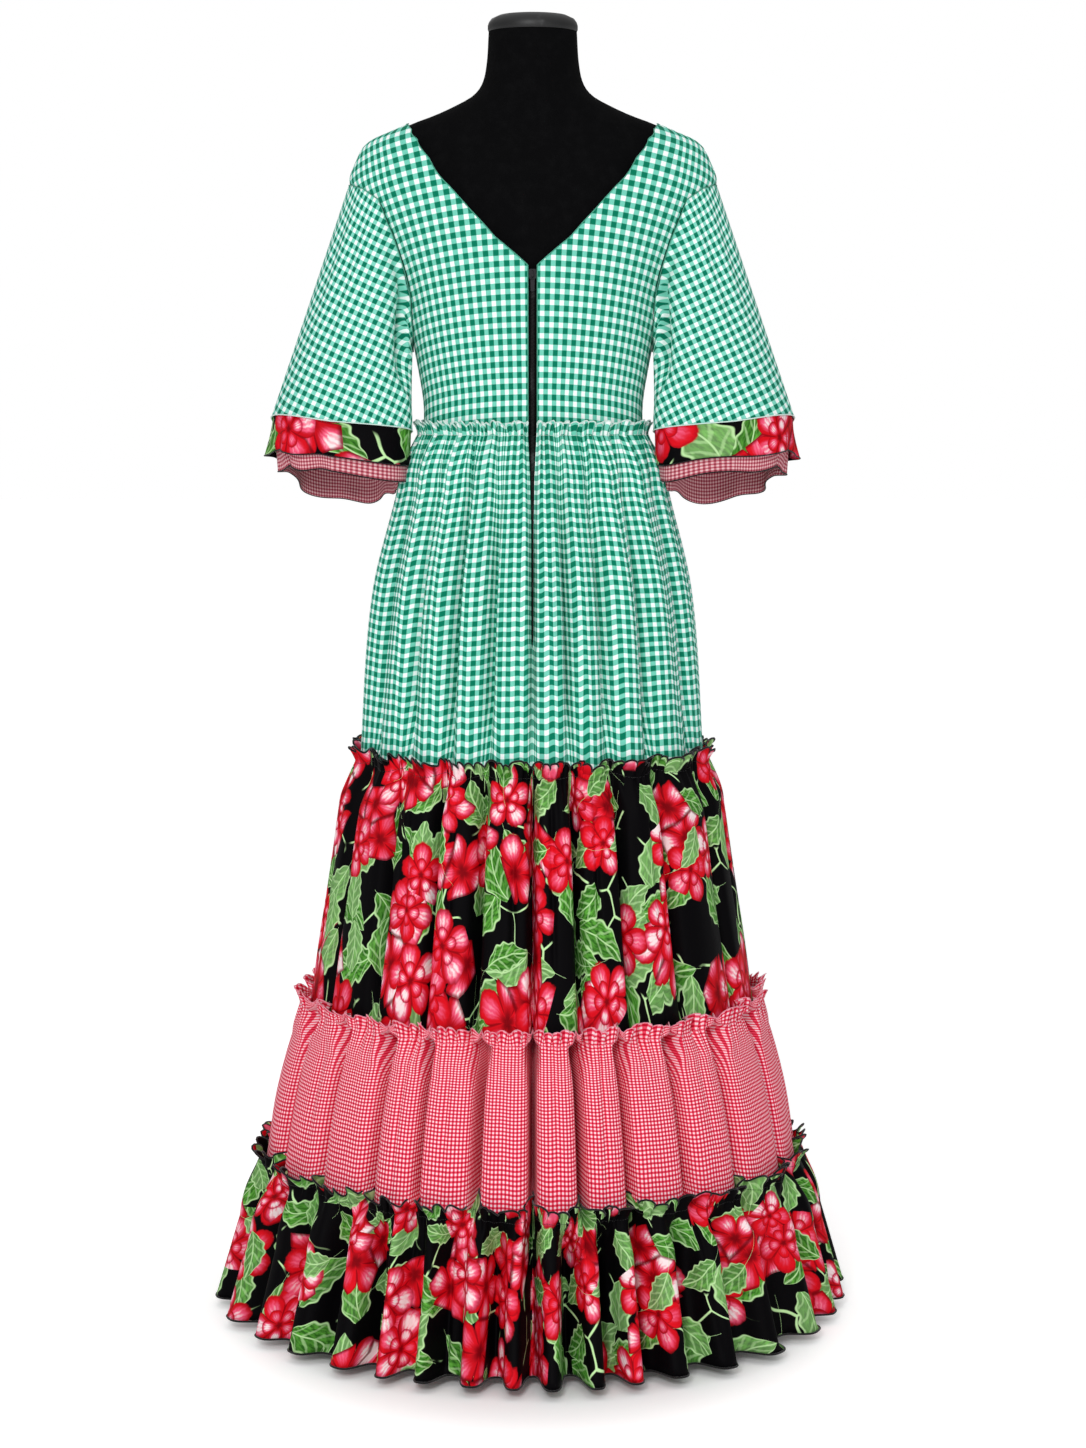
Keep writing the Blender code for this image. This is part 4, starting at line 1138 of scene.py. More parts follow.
top_surface = tier_surface(TOP_TIER, soft_gathers, waist, TOP_GATHERING, TOP_CREASES, form_reach)
floral_surface = tier_surface(FLORAL_TIER, pleats, top_surface, FLORAL_GATHERING, FLORAL_CREASES)
pink_surface = tier_surface(PINK_TIER, pillows, floral_surface, PINK_GATHERING, PINK_CREASES)
hem_surface = tier_surface(HEM_TIER, flounce, pink_surface, HEM_GATHERING, HEM_CREASES)
print("creases", len(TOP_CREASES + FLORAL_CREASES + PINK_CREASES + HEM_CREASES))

# %% [markdown]
# Rows of points stand close together at the heading and the stitches, where the cloth turns quickly,
# and wider below. The flat map counts the cloth's real length round its lower edge, so the print runs
# into the valleys and comes out again, as on cloth that was flat before it was gathered.

# %% Making a tier
HEADING_ROWS = 6
GRAIN_DRIFT = [Wobble(0.0012, 23, 0.4), Wobble(0.0009, 41, 1.7), Wobble(0.0006, 67, 3.1)]
LONG_TIER = 0.4                # metres: the grain drifts less in shorter tiers
Cut = namedtuple("Cut", "width length")


def tier_heights(tier, rows):
    """Heights from the heading's edge down to the tier's lower edge, as a function of the row's share."""
    bottom = tier.rings[0].z
    heading_share = HEADING_ROWS / rows

    def height(down):
        if down <= heading_share:
            return tier.heading + (tier.stitch - tier.heading) * down / heading_share
        share = (down - heading_share) / (1.0 - heading_share)
        return tier.stitch + (bottom - tier.stitch) * share**1.5

    return height


def arc_shares(surface, z, columns):
    """For each column, the share of the cloth's width that lies before it, measured along the folds."""
    lengths = running_lengths([surface(k / columns, z) for k in range(columns + 1)])
    return [length / lengths[-1] for length in lengths], lengths[-1]


def make_tier(name, tier, surface, columns, rows, cut, material, slot, place=None):
    height = tier_heights(tier, rows)
    shares, round_length = arc_shares(surface, 0.5 * (tier.rings[0].z + tier.rings[1].z), columns)
    placed = place or surface

    def in_the_round(across, down):
        return placed(across, height(down))

    def on_the_cut(across, down):
        z = height(down)
        drift = wobbling(GRAIN_DRIFT, across + 0.05 * z) * (cut.length / LONG_TIER) ** 2
        along = (tier.heading - z) * cut.length / (tier.heading - tier.rings[0].z)
        return cut.width * shares[round(across * columns)] + 0.6 * drift, drift - along

    piece = cloth(name, columns, rows, in_the_round, on_the_cut, material, slot)
    thicken(piece)
    nodes = [f"{name}_{panel}" for panel in ("back_right", "front_right", "front_left", "back_left")]
    piece.name = name + "_cloth"
    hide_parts(*nodes)
    print(name, "area", round(area_of(piece), 3), "cut", round(cut.width * cut.length, 3),
          "round", round(round_length, 3))
    return piece


# %% [markdown]
# The top tier is open at the centre back over the zip: its two edges stand a little apart down to the
# zip's end and then meet in a seam. Points within a thumb's width of the opening are pushed aside.

# %% The skirt's four tiers
ZIP_END = 0.800
ZIP_OPENING = [
    Edge(0.0008, ZIP_END),
    Edge(0.0012, 0.930),
    Edge(0.0026, 0.985),
    Edge(0.0050, 1.034),
    Edge(0.0053, 1.060),
]
OPENING_REACH = 0.014


def opening_half(z):
    if z < ZIP_END:
        return 0.0
    for low, high in zip(ZIP_OPENING, ZIP_OPENING[1:]):
        if z <= high.z:
            return low.across + (high.across - low.across) * (z - low.z) / (high.z - low.z)
    return ZIP_OPENING[-1].across


def top_with_opening(turn, z):
    point = top_surface(turn, z)
    if turn < 0.1 or turn > 0.9:
        side = 1.0 if turn < 0.5 else -1.0
        aside = max(0.0, side * point.x)
        if aside < OPENING_REACH:
            half = opening_half(z)
            point.x = side * (half + aside * (1.0 - half / OPENING_REACH))
    return point


TOP_CUT = Cut(1.75, 0.395)
FLORAL_CUT = Cut(2.75, 0.300)
PINK_CUT = Cut(4.40, 0.202)
HEM_CUT = Cut(4.40, 0.200)
TOP_COLUMNS = 720
top_cloth = make_tier("skirt_top", TOP_TIER, top_surface, TOP_COLUMNS, 42, TOP_CUT, GREEN_SKIRT,
                      "green_gingham", top_with_opening)
floral_cloth = make_tier("skirt_floral", FLORAL_TIER, floral_surface, 896, 38, FLORAL_CUT, FLORAL, "floral")
pink_cloth = make_tier("skirt_pink", PINK_TIER, pink_surface, 1056, 34, PINK_CUT, PINK_CHECK, "pink_gingham")
hem_cloth = make_tier("hem_flounce", HEM_TIER, hem_surface, 1080, 34, HEM_CUT, FLORAL, "floral")

# %% [markdown]
# Raw cotton edges fray, so a machine wraps them with thread. On the floral tiers this overlock is black
# and makes a fine dark line along each heading and the hem. The pink and green edges are paler. A round
# thread is laid along the same points as the cloth's own edge.

# %% Overlocked edges and gathering stitches of the skirt
EDGE_RADIUS = 0.0012
CUFF_EDGE = 0.0008
FINE_RADIUS = 0.0006
STITCH_RADIUS = 0.00028
STITCH_PITCH = 0.0032
STITCH_LENGTH = 0.0022
STITCH_LIFT = 0.0005
STITCH_LINE = 900             # points along the line of stitches

for name, surface, z, columns, radius, material, slot in (
    ("heading_edge_floral", floral_surface, FLORAL_TIER.heading, 1000, EDGE_RADIUS, BLACK_THREAD, "floral"),
    ("heading_edge_pink", pink_surface, PINK_TIER.heading, 1200, FINE_RADIUS, PINK_THREAD, "pink_gingham"),
    ("heading_edge_hem", hem_surface, HEM_TIER.heading, 1200, EDGE_RADIUS, BLACK_THREAD, "floral"),
    ("hem_edge", hem_surface, HEM_TIER.rings[0].z, 1200, EDGE_RADIUS, BLACK_THREAD, "floral"),
):
    line = [surface(k / columns, z) for k in range(columns)]
    tube(name, [line], radius, material, slot, closed=True, sides=1)
waist_edge = [top_with_opening(k / TOP_COLUMNS, TOP_TIER.heading) for k in range(TOP_COLUMNS + 1)]
tube("heading_edge_waist", [waist_edge], CUFF_EDGE, WHITE_THREAD, "green_gingham", sides=1)

for name, surface, tier, material, slot in (
    ("waist_stitches", top_with_opening, TOP_TIER, WHITE_THREAD, "green_gingham"),
    ("floral_stitches", floral_surface, FLORAL_TIER, BLACK_THREAD, "floral"),
    ("pink_stitches", pink_surface, PINK_TIER, PINK_THREAD, "pink_gingham"),
    ("hem_stitches", hem_surface, HEM_TIER, BLACK_THREAD, "floral"),
):
    line = [surface(k / STITCH_LINE, tier.stitch) for k in range(STITCH_LINE + 1)]
    stitches = stitch_paths(line, STITCH_PITCH, STITCH_LENGTH, STITCH_LIFT)
    tube(name, stitches, STITCH_RADIUS, material, slot, sides=0)
print("edges done")

# %% [markdown]
# The back bodice is two pieces that leave a V, and the front is one piece with a wide neck. Both run
# past the form's shoulder to a dropped armhole. A piece is a grid between its centre line and its side,
# where the side first follows the side seam and then the armhole.

# %% Bodice
BACK_NECK = [
    Edge(0.0053, 1.226),
    Edge(0.0430, 1.258),
    Edge(0.0720, 1.290),
    Edge(0.0940, 1.315),
    Edge(0.1180, 1.348),
    Edge(0.1320, 1.371),
    Edge(0.1390, 1.383),
    Edge(0.1425, 1.3885),
]
FRONT_NECK = [
    Edge(0.0000, 1.250),
    Edge(0.0420, 1.262),
    Edge(0.0740, 1.288),
    Edge(0.0960, 1.314),
    Edge(0.1180, 1.346),
    Edge(0.1320, 1.371),
    Edge(0.1390, 1.383),
    Edge(0.1425, 1.3885),
]
SHOULDER_POINT_Z = 1.3925
SHOULDER_END_Z = 1.322
CENTRE_ROWS = (1.022, 1.070, 1.120, 1.165, 1.205)
SIDE_ROWS = (1.022, 1.070, 1.105)
ARMHOLE = [
    Edge(90.0, 1.130),
    Edge(76.0, 1.148),
    Edge(70.0, 1.190),
    Edge(68.0, 1.235),
    Edge(64.5, 1.277),
    Edge(61.0, 1.303),
    Edge(68.0, 1.316),
    Edge(78.0, 1.3205),
    Edge(90.0, SHOULDER_END_Z),
]
SEAM_JOIN = 0.0002
Pull = namedtuple("Pull", "across up reach_across reach_up lean depth")
BODICE_PULLS = [
    Pull(0.92, 0.42, 0.07, 0.16, 0.25, -0.0022),
    Pull(0.80, 0.30, 0.06, 0.14, 0.20, -0.0014),
    Pull(0.86, 0.60, 0.08, 0.14, 0.35, 0.0016),
    Pull(0.62, 0.20, 0.05, 0.12, 0.10, -0.0010),
    Pull(0.70, 0.78, 0.10, 0.08, 0.60, -0.0012),
    Pull(0.30, 0.16, 0.05, 0.10, -0.10, -0.0009),
]


def row_between(rows, up):
    """The values at a share of the way through a table's rows."""
    place = up * (len(rows) - 1)
    i = min(int(place), len(rows) - 2)
    share = place - i
    return [a + share * (b - a) for a, b in zip(rows[i], rows[i + 1])]


def armhole_edge(up):
    """(angle from the centre line, height) on the armhole; up is 0 at the armpit, 1 on the shoulder."""
    angle, z = row_between(ARMHOLE, min(max(up, 0.0), 1.0))
    return math.radians(angle), z


def bodice_rows(neck, centre_half):
    def angle_at(across, z):
        return math.asin(min(1.0, across / bodice_values(z)[0]))

    inner = [(angle_at(centre_half, z), z) for z in CENTRE_ROWS]
    inner += [(angle_at(edge.across, edge.z), edge.z) for edge in neck]
    inner.append((0.5 * math.pi, SHOULDER_POINT_Z))
    outer = [(0.5 * math.pi, z) for z in SIDE_ROWS]
    steps = len(inner) - len(outer) - 1
    outer += [armhole_edge(k / steps) for k in range(steps + 1)]
    return [(*a, *b) for a, b in zip(inner, outer)]


def pull_push(pulls, across, up):
    push = 0.0
    for pull in pulls:
        beside = (across - pull.across - pull.lean * (up - pull.up)) / pull.reach_across
        along = (up - pull.up) / pull.reach_up
        push += pull.depth * math.exp(-(beside**2) - along**2)
    return push


# The cloth's threads lean outwards towards the shoulders, and sink towards the sides.
GRAIN_LEAN = 0.19
GRAIN_FROM = 1.080
GRAIN_REACH = 0.170
GRAIN_FALL = 0.80
ARC_STEPS = 8                 # steps in which the length round a section is added up


def bodice_half(neck, centre_half, side, front):
    """place and flat functions of half a back or half a front."""
    rows = bodice_rows(neck, centre_half)

    def spot(across, up):
        angle_in, z_in, angle_out, z_out = row_between(rows, up)
        return angle_in + across * (angle_out - angle_in), z_in + across * (z_out - z_in)

    def place(across, down):
        up = 1.0 - down
        angle, z = spot(across, up)
        angle = math.pi - angle if front else angle
        point = section_point(bodice_values(round(z, 6)), side * angle, z)
        out = Vector((point.x, point.y, 0.0)).normalized()
        inside = math.sin(math.pi * across) * math.sin(math.pi * min(1.0, 1.15 * up))
        return point + pull_push(BODICE_PULLS, across, up) * max(0.0, inside) * out

    def flat(across, down):
        angle, z = spot(across, 1.0 - down)
        half_width, back, front_depth = bodice_values(round(z, 6))
        depth = front_depth if front else back
        width = 0.0
        for k in range(ARC_STEPS):
            a = angle * (k + 0.5) / ARC_STEPS
            width += math.hypot(half_width * math.cos(a), depth * math.sin(a)) * angle / ARC_STEPS
        lean = GRAIN_LEAN * max(0.0, z - GRAIN_FROM) * min(1.0, width / GRAIN_REACH)
        return side * (width - lean), z + GRAIN_FALL * width**2

    return place, flat


def join_pieces(name, parts, material, slot):
    """Several cloth grids as one piece, merged where they meet."""
    whole = bmesh.new()
    for part in parts:
        whole.from_mesh(part.data)
        bpy.data.objects.remove(part)
    seam = [vert for vert in whole.verts if vert.is_boundary]
    bmesh.ops.remove_doubles(whole, verts=seam, dist=SEAM_JOIN)
    return finish_piece(name, as_mesh(name, whole), material, slot)


BODICE_GRID = (60, 96)
for name, side in (("bodice_back_right", 1), ("bodice_back_left", -1)):
    place, flat = bodice_half(BACK_NECK, BACK_NECK[0].across, side, False)
    piece = outwards(cloth(name + "_cloth", *BODICE_GRID, place, flat, GREEN, "green_gingham"))
    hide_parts(name)
    print(name, round(area_of(piece), 4))
halves = []
for side in (-1, 1):
    place, flat = bodice_half(FRONT_NECK, 0.0, side, True)
    halves.append(cloth(f"front_half_{side}", *BODICE_GRID, place, flat, GREEN, "green_gingham"))
bodice_front = outwards(join_pieces("bodice_front_cloth", halves, GREEN, "green_gingham"))
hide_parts("bodice_front")
print("bodice_front", round(area_of(bodice_front), 4))

# %% [markdown]
# The sleeves flare from the dropped armhole to a slanted cuff. They are cut on the bias, so the checks
# stand askew and the cloth falls softly. Each is a tube from the armhole's ring to the cuff's ring, with
# a few long listed folds, deepest beside the body.

# %% Sleeves
CUFF_CENTRE = Vector((0.2330, 0.0050, 1.0500))
CUFF_HALF = (0.0735, 0.0700)
CUFF_RISE_OUTWARDS = 0.147
CUFF_FRONT_DROP = 0.035
CUFF_FULLNESS = 0.034         # how far the cuff swings in behind the body
SLEEVE_BULGE = 0.009
ARMHOLE_EASE = 0.0014
SLEEVE_CUT = Cut(0.50, 0.285)
SLEEVE_MIDDLE = 0.21            # metres from the middle of the dress
SLEEVE_COLUMNS = 200
SLEEVE_ROWS = 52
SLEEVE_RINGS = 13             # levels at which the length round the sleeve is measured
SLEEVE_AXIS = (0.215, 0.003)
ARM_HOLLOW = 0.009            # the hollow that runs beside the armhole seam towards the underarm
ARM_HOLLOW_DOWN = 0.085
ARM_HOLLOW_WIDTH = 0.050
SleeveFold = namedtuple("SleeveFold", "turn width depth top bottom lean")
SLEEVE_FOLDS = [
    SleeveFold(0.348, 0.022, -0.0270, -0.02, 0.74, 0.05),
    SleeveFold(0.275, 0.030, 0.0060, 0.02, 0.70, 0.04),
    SleeveFold(0.640, 0.050, -0.0100, -0.05, 0.55, -0.02),
    SleeveFold(0.335, 0.022, -0.0060, 0.02, 0.90, 0.02),
    SleeveFold(0.255, 0.020, 0.0030, 0.05, 0.80, 0.03),
    SleeveFold(0.160, 0.018, -0.0030, 0.04, 0.75, 0.03),
    SleeveFold(0.090, 0.016, -0.0022, 0.02, 0.60, 0.02),
    SleeveFold(0.410, 0.020, -0.0040, 0.10, 0.85, 0.00),
    SleeveFold(0.600, 0.022, -0.0045, 0.05, 0.90, -0.02),
    SleeveFold(0.700, 0.020, 0.0030, 0.05, 0.80, -0.03),
    SleeveFold(0.810, 0.018, -0.0030, 0.04, 0.75, -0.03),
    SleeveFold(0.920, 0.016, -0.0022, 0.02, 0.60, -0.02),
]


def armhole_point(turn, side):
    angle, z = armhole_edge(abs(1.0 - 2.0 * turn))
    angle = math.pi - angle if turn > 0.5 else angle
    point = section_point(bodice_values(round(z, 6)), angle, z)
    return Vector((side * (point.x + ARMHOLE_EASE), point.y, point.z))


def cuff_point(turn, side):
    angle = math.tau * turn
    x = CUFF_HALF[0] * math.cos(angle)
    y = -CUFF_HALF[1] * math.sin(angle)
    frontness = 0.5 * (1.0 - math.sin(angle))
    z = CUFF_CENTRE.z + CUFF_RISE_OUTWARDS * x - CUFF_FRONT_DROP * frontness**2
    behind_body = 2.0 * max(0.0, -math.cos(angle)) * max(0.0, math.sin(angle))
    x -= CUFF_FULLNESS * behind_body
    return Vector((side * (CUFF_CENTRE.x + x), CUFF_CENTRE.y + y, z))


def sleeve_push(turn, down):
    inner_side = max(0.0, -math.cos(math.tau * turn)) ** 0.7
    push = -ARM_HOLLOW * inner_side * math.exp(-(((down - ARM_HOLLOW_DOWN) / ARM_HOLLOW_WIDTH) ** 2))
    for fold in SLEEVE_FOLDS:
        if fold.top < down < fold.bottom:
            away = (turn - fold.turn - fold.lean * (down - fold.top)) / fold.width
            along = math.sin(math.pi * (down - fold.top) / (fold.bottom - fold.top))
            push += fold.depth * along * math.exp(-(away**2))
    return push


def sleeve_point(turn, down, side):
    point = armhole_point(turn, side).lerp(cuff_point(turn, side), down)
    point.y -= SLEEVE_BULGE * math.sin(math.pi * min(down, 1.0)) * math.sin(math.tau * turn)
    centre = Vector((side * (0.180 + 0.053 * down), 0.003, point.z))
    out = (point - centre).normalized()
    return point + sleeve_push(turn, down) * out


def round_lengths(side, down):
    """How far each column lies round the sleeve, on the level; the back keeps its grain straight."""
    turns = [(k / SLEEVE_COLUMNS + 0.5) % 1.0 for k in range(SLEEVE_COLUMNS + 1)]
    points = [sleeve_point(turn, down, side).xy for turn in turns]
    lengths = running_lengths(points)
    middle = 3 * SLEEVE_COLUMNS // 4
    swing = abs(points[middle].x) - SLEEVE_MIDDLE
    return [
        SLEEVE_MIDDLE - swing * math.sin(math.tau * k / SLEEVE_COLUMNS) - (length - lengths[middle])
        for k, length in enumerate(lengths)
    ]


for name, side in (("right", 1), ("left", -1)):
    def place(across, down):
        return sleeve_point((across + 0.5) % 1.0 if 0.0 < across < 1.0 else 0.5, down, side)

    rings = [round_lengths(side, row / (SLEEVE_RINGS - 1)) for row in range(SLEEVE_RINGS)]

    def flat(across, down):
        column = round(across * SLEEVE_COLUMNS)
        row = min(int(down * (SLEEVE_RINGS - 1)), SLEEVE_RINGS - 2)
        share = down * (SLEEVE_RINGS - 1) - row
        aside = rings[row][column] + share * (rings[row + 1][column] - rings[row][column])
        return side * aside, place(across, down).z

    piece = cloth(f"sleeve_{name}_cloth", SLEEVE_COLUMNS, SLEEVE_ROWS, place, flat, GREEN_BIAS[name],
                  "green_gingham")
    outwards(piece, (side * SLEEVE_AXIS[0], SLEEVE_AXIS[1]))
    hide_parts(f"sleeve_{name}")
    print("sleeve", name, round(area_of(piece), 4), round(SLEEVE_CUT.width * SLEEVE_CUT.length, 4))

# %% [markdown]
# Two ruffles hang from inside each cuff, a floral one over a narrower and longer pink one. Both are
# strips sewn in flat, so only their free edges wave. Their edges are overlocked in black.

# %% Cuff ruffles
Ruffle = namedtuple("Ruffle", "cloth slot length flare wave start material cut")
RUFFLE_TOP = 0.955
RUFFLE_WAVES = 6
RUFFLE_INNER_WAVE = 0.25
RUFFLES = [
    Ruffle("floral", "floral", 0.042, 0.0035, 0.0060, 0.4, FLORAL_CUFF, Cut(0.56, 0.055)),
    # The pink ruffle uses the copy of the pink gingham with painted shade.
    Ruffle("pink", "pink_gingham", 0.060, -0.0110, 0.0065, 0.4, PINK_PAINTED_SHADE, Cut(0.52, 0.074)),
]
CUFF_LAYER = 0.0019
CUFF_GRID = (240, 14)
CUFF_PRINT_SHIFT = 0.47       # metres along the cloth, to where a flower shows on the cuff's back


def moved_in(turn, down, side, inset):
    """A point of the sleeve's tube, moved towards its axis by an inset."""
    point = sleeve_point(turn, down, side)
    centre = Vector((side * CUFF_CENTRE.x, CUFF_CENTRE.y, point.z))
    return point - inset * (point - centre).normalized()


def ruffle_point(turn, down, side, ruffle, inset):
    """down is 0 at the seam inside the sleeve and 1 at the free edge."""
    seam_share = 0.2
    if down <= seam_share:
        return moved_in(turn, RUFFLE_TOP + (1.0 - RUFFLE_TOP) * down / seam_share, side, inset)
    share = (down - seam_share) / (1.0 - seam_share)
    point = moved_in(turn, 1.0, side, inset)
    away = Vector((point.x - side * CUFF_CENTRE.x, point.y - CUFF_CENTRE.y, 0.0)).normalized()
    angle = math.tau * turn
    outer = 0.5 * (1.0 + math.cos(angle))
    phase = RUFFLE_WAVES * angle + ruffle.start + 0.9 * math.sin(2.0 * angle + side)
    wave = ruffle.wave * math.cos(phase) + 0.25 * ruffle.wave * math.cos(2.3 * phase + 1.0)
    reach = ruffle.flare * outer + wave * (RUFFLE_INNER_WAVE + (1.0 - RUFFLE_INNER_WAVE) * outer)
    drop = ruffle.length * (1.0 + 0.05 * math.sin(phase + 1.0))
    return point + share**1.3 * reach * away - Vector((0.0, 0.0, share * drop))


for name, side in (("right", 1), ("left", -1)):
    for layer, ruffle in enumerate(RUFFLES):
        inset = (layer + 1) * CUFF_LAYER

        def place(across, down):
            turn = (across + 0.5) % 1.0 if 0.0 < across < 1.0 else 0.5
            return ruffle_point(turn, down, side, ruffle, inset)

        def flat(across, down):
            along = ruffle.cut.width * across + CUFF_PRINT_SHIFT
            return side * along, -ruffle.cut.length * down

        node = f"cuff_{ruffle.cloth}_{name}"
        piece = cloth(node + "_cloth", *CUFF_GRID, place, flat, ruffle.material, ruffle.slot)
        outwards(piece, (side * CUFF_CENTRE.x, CUFF_CENTRE.y))
        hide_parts(node)
        points = CUFF_GRID[0]
        edge = [ruffle_point(k / points, 1.0, side, ruffle, inset) for k in range(points)]
        trim = tube(node + "_edge", [edge], CUFF_EDGE, BLACK_THREAD, ruffle.slot, closed=True, sides=1)
        print("cuff", ruffle.cloth, name, round(area_of(piece), 4))
    hem = [sleeve_point(k / SLEEVE_COLUMNS, 1.0, side) for k in range(SLEEVE_COLUMNS)]
    tube(f"sleeve_{name}_hem", [hem], CUFF_EDGE, WHITE_THREAD, "green_gingham", closed=True, sides=1)

# %% [markdown]
# Bias binding finishes the neckline and the opening, and the armhole seam shows as a raised line. All
# are thin rolls along lines that the pieces already have.

# %% Neck, opening and armhole edges
EDGE_STEPS = 120
ARMHOLE_STEPS = 160


def bodice_edge(neck, centre_half, side, front, first_up):
    rows = bodice_rows(neck, centre_half)
    points = []
    for k in range(EDGE_STEPS + 1):
        up = first_up + (1.0 - first_up) * k / EDGE_STEPS
        angle, z, _, _ = row_between(rows, up)
        angle = math.pi - angle if front else angle
        points.append(section_point(bodice_values(round(z, 6)), side * angle, z))
    return points


for name, side in (("right", 1), ("left", -1)):
    line = bodice_edge(BACK_NECK, BACK_NECK[0].across, side, False, 0.0)
    tube(f"back_edge_{name}", [line], FINE_RADIUS, SEAM_GREEN, "green_gingham")
    seam = [armhole_point(k / ARMHOLE_STEPS, side) for k in range(ARMHOLE_STEPS)]
    tube(f"armhole_seam_{name}", [seam], FINE_RADIUS, SEAM_GREEN, "green_gingham", closed=True, sides=1)
neck_first_up = len(CENTRE_ROWS) / (len(CENTRE_ROWS) + len(FRONT_NECK))
front_line = bodice_edge(FRONT_NECK, 0.0, -1, True, neck_first_up)[::-1]
front_line += bodice_edge(FRONT_NECK, 0.0, 1, True, neck_first_up)[1:]
tube("front_neck_edge", [front_line], FINE_RADIUS, SEAM_GREEN, "green_gingham")
print("edges", len([o for o in bpy.data.objects if "edge" in o.name]))

# %% [markdown]
# The form is a padded body under black jersey, with a turned cap on the neck, on a steel pole and a
# round foot. The body is wrapped like the cloths. Cap and foot are round, so their profiles are spun.

# %% Dress form and stand
FORM_GRID = (96, 150)


def make_form():
    low, high = FORM[0].z, FORM[-1].z

    def place(across, down):
        z = high + (low - high) * down
        return section_point(form_values(round(z, 5)), math.tau * across, z)

    body = bmesh.new()
    bmesh.ops.create_grid(body, x_segments=FORM_GRID[0], y_segments=FORM_GRID[1], size=0.5)
    for vert in body.verts:
        vert.co = place(vert.co.x + 0.5, 0.5 - vert.co.y)
    bmesh.ops.remove_doubles(body, verts=body.verts, dist=JOIN)
    bmesh.ops.holes_fill(body, edges=[edge for edge in body.edges if edge.is_boundary])
    bmesh.ops.recalc_face_normals(body, faces=body.faces)
    piece = finish_piece("form_jersey", as_mesh("form_jersey", body), JERSEY, "form_black")
    piece.data.set_sharp_from_angle(angle=math.radians(50.0))
    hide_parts("form_body")


def spun(name, profile, material, slot, node, steps=96):
    """A turned solid from its profile of (radius, height), closed on the axis at both ends."""
    shape = bmesh.new()
    verts = [shape.verts.new((radius, 0.0, z)) for radius, z in profile]
    edges = [shape.edges.new(pair) for pair in zip(verts, verts[1:])]
    bmesh.ops.spin(shape, geom=verts + edges, cent=(0.0, 0.0, 0.0), axis=(0.0, 0.0, 1.0),
                   angle=math.tau, steps=steps, use_merge=True)
    bmesh.ops.remove_doubles(shape, verts=shape.verts, dist=JOIN)
    bmesh.ops.recalc_face_normals(shape, faces=shape.faces)
    piece = finish_piece(name, as_mesh(name, shape), material, slot)
    piece.data.set_sharp_from_angle(angle=math.radians(40.0))
    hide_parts(node)


make_form()
cap_low, cap_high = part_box("neck_cap")
spun("turned_neck_cap", [
    (0.0, cap_low.z), (0.0510, cap_low.z), (0.0520, cap_low.z + 0.0022), (0.0520, cap_low.z + 0.0067),
    (0.0508, cap_low.z + 0.0105), (0.0480, cap_low.z + 0.0142), (0.0400, cap_low.z + 0.0180),
    (0.0240, cap_low.z + 0.0197), (0.0, cap_high.z),
], CAP_BLACK, "cap_black", "neck_cap")
spun("turned_foot", [
    (0.0, 0.0), (0.1690, 0.0), (0.1700, 0.0010), (0.1700, 0.0040), (0.1694, 0.0054), (0.1680, 0.0060),
    (0.0380, 0.0070), (0.0300, 0.0095), (0.0260, 0.0180), (0.0260, 0.0500), (0.0240, 0.0520),
    (0.0, 0.0520),
], STAND_BLACK, "stand_black", "stand_base")
pole = frame["nodes"]["stand_pole"]
pole.data.materials.clear()
pole.data.materials.append(STAND_BLACK)
print("form and stand done")

# %% [markdown]
# The zip is sewn behind the opening: a woven tape, two rows of coiled teeth, a slider and a pull tab.
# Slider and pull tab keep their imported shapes, because they are rigid and the tab turns on its joint.

# %% Zip
ZIP_TOP = 1.2225
TAPE_HALF = 0.0115
TAPE_END = 0.802
TAPE_LENGTH = 0.42
TAPE_SAG = 0.0009
COIL_START = ZIP_TOP - 0.012
TOOTH_PITCH = 0.0015
TOOTH_RADIUS = 0.00042
TOOTH_REACH = 0.0022          # from the middle of the coil to where a tooth enters the tape
TOOTH_CROWN = 0.0008


def tape_face(z):
    """How far back the tape's outer face lies at a height: just inside the cloth beside it."""
    if z > 1.034:
        return bodice_values(round(z, 6))[1] - 0.0015
    return -top_surface(0.0, z).y - 0.0018


def tape_place(across, down):
    z = ZIP_TOP + (TAPE_END - ZIP_TOP) * down
    x = TAPE_HALF * (2.0 * across - 1.0)
    sag = TAPE_SAG * (x / TAPE_HALF) ** 2
    return Vector((x, -tape_face(z) + sag, z))


def tape_flat(across, down):
    return 2 * TAPE_HALF * across, -TAPE_LENGTH * down


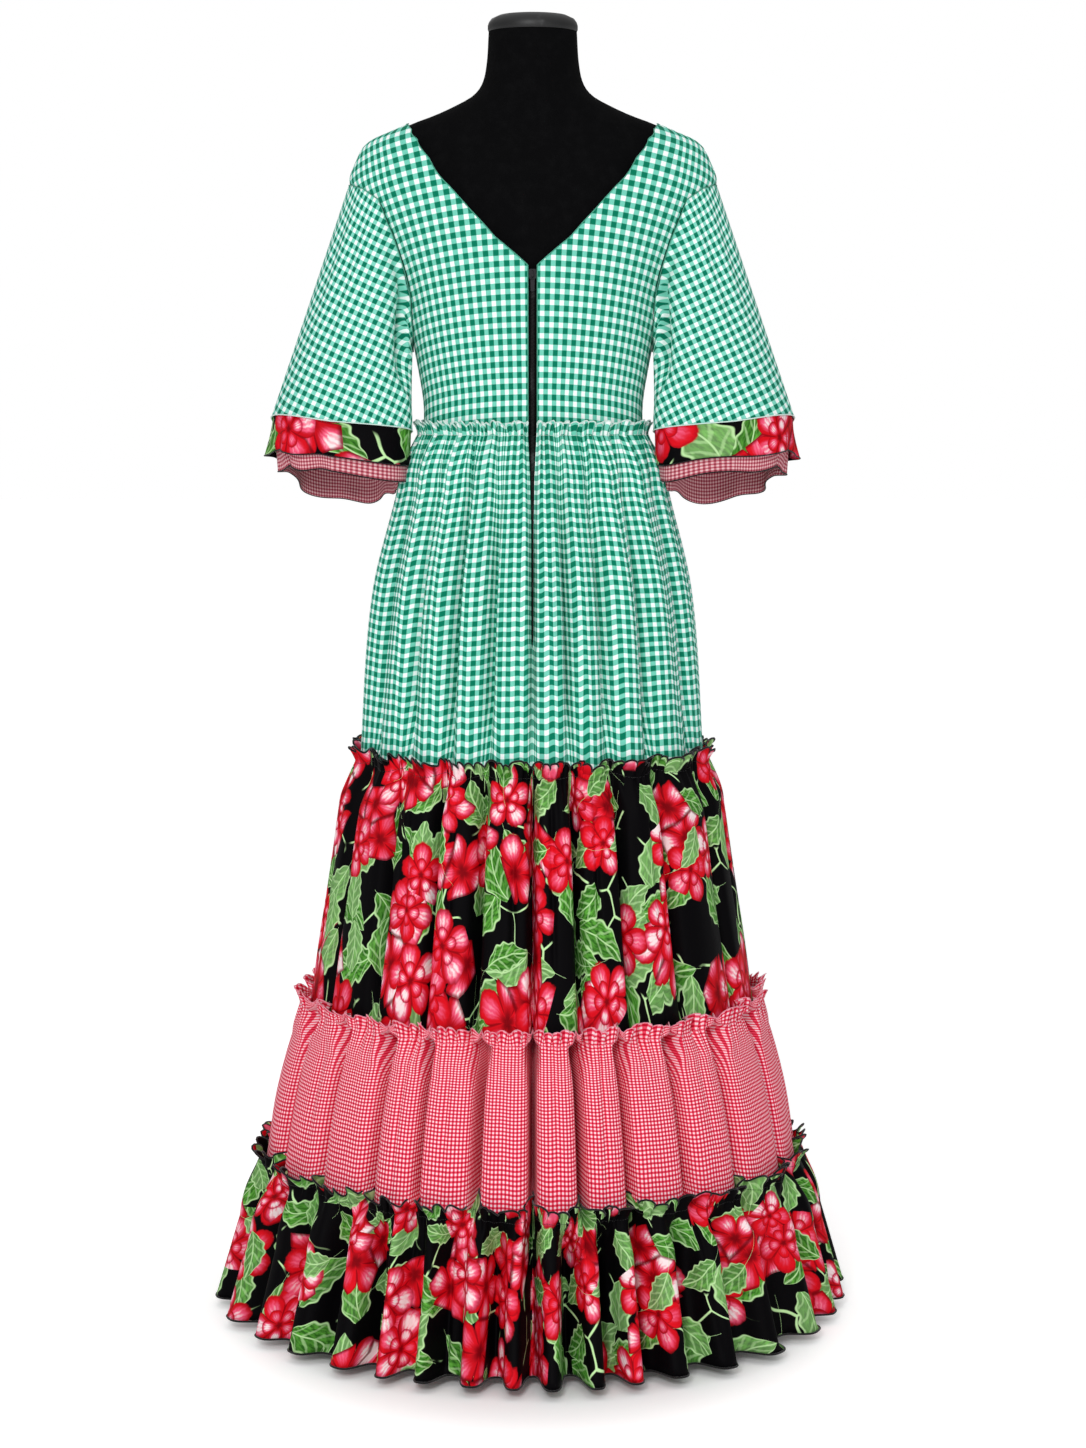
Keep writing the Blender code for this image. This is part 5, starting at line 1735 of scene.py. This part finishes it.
tape = cloth("zip_tape_cloth", 8, 130, tape_place, tape_flat, ZIP_CLOTH, "zip_black")
thicken(tape)
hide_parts("zip_tape")
teeth = []
for k in range(int((COIL_START - TAPE_END) / TOOTH_PITCH)):
    z = COIL_START - k * TOOTH_PITCH
    z_across = z - 0.4 * TOOTH_PITCH
    y_root = -tape_face(z) + 0.0002
    y_crown = -tape_face(z) - 0.0007
    teeth.append([
        Vector((-TOOTH_REACH, y_root, z)),
        Vector((-TOOTH_CROWN, y_crown, z)),
        Vector((TOOTH_CROWN, y_crown, z_across)),
        Vector((TOOTH_REACH, y_root, z_across)),
    ])
tube("zip_coil", teeth, TOOTH_RADIUS, ZIP_TEETH, "zip_black", sides=0)
for node in ("zip_slider", "zip_pull"):
    frame["nodes"][node].data.materials.clear()
    frame["nodes"][node].data.materials.append(ZIP_METAL)
print("teeth", len(teeth))

# %% [markdown]
# A plain floor takes the soft shadow of the hem, partly real and partly painted: its glow, seen only by
# the camera, is dimmed in a squashed ring round the hem. It is part of the studio and not of the dress.

# %% Floor
FLOOR_WHITE = (0.93, 0.93, 0.93, 1.0)

floor_mesh = bmesh.new()
bmesh.ops.create_grid(floor_mesh, x_segments=1, y_segments=1, size=FLOOR_HALF)
bmesh.ops.translate(floor_mesh, verts=floor_mesh.verts, vec=(0.0, 0.0, -FLOOR_DROP))
floor_material, graph, shader = new_material("floor_white")
shader.inputs["Base Color"].default_value = FLOOR_WHITE
shader.inputs["Emission Color"].default_value = (1.0, 1.0, 1.0, 1.0)
seen = graph.add("ShaderNodeLightPath")
place = graph.add("ShaderNodeTexCoord").outputs["Object"]
# Painted shadow: the camera-only glow is dimmed inside a squashed ellipse round the hem, so the floor there
# looks darker.
place = graph.vector("MULTIPLY", place, PAINTED_SHADOW_SQUASH)
away = graph.rise(graph.vector("LENGTH", place), *PAINTED_SHADOW_REACH)
glow = graph.math("MULTIPLY_ADD", away, FLOOR_GLOW - FLOOR_GLOW_IN_PAINTED_SHADOW, FLOOR_GLOW_IN_PAINTED_SHADOW)
graph.feed(shader.inputs["Emission Strength"], graph.product(seen.outputs["Is Camera Ray"], glow))
shader.inputs["Roughness"].default_value = 0.9
shader.inputs["Specular IOR Level"].default_value = 0.0
floor = bpy.data.objects.new("floor", as_mesh("floor", floor_mesh))
floor.data.materials.append(floor_material)
bpy.context.scene.collection.objects.link(floor)
floor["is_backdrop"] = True

# %% [markdown]
# The dressed model's size is printed.

# %% Sizes
low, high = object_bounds()
print("size", [round(v, 3) for v in (*low, *high)])
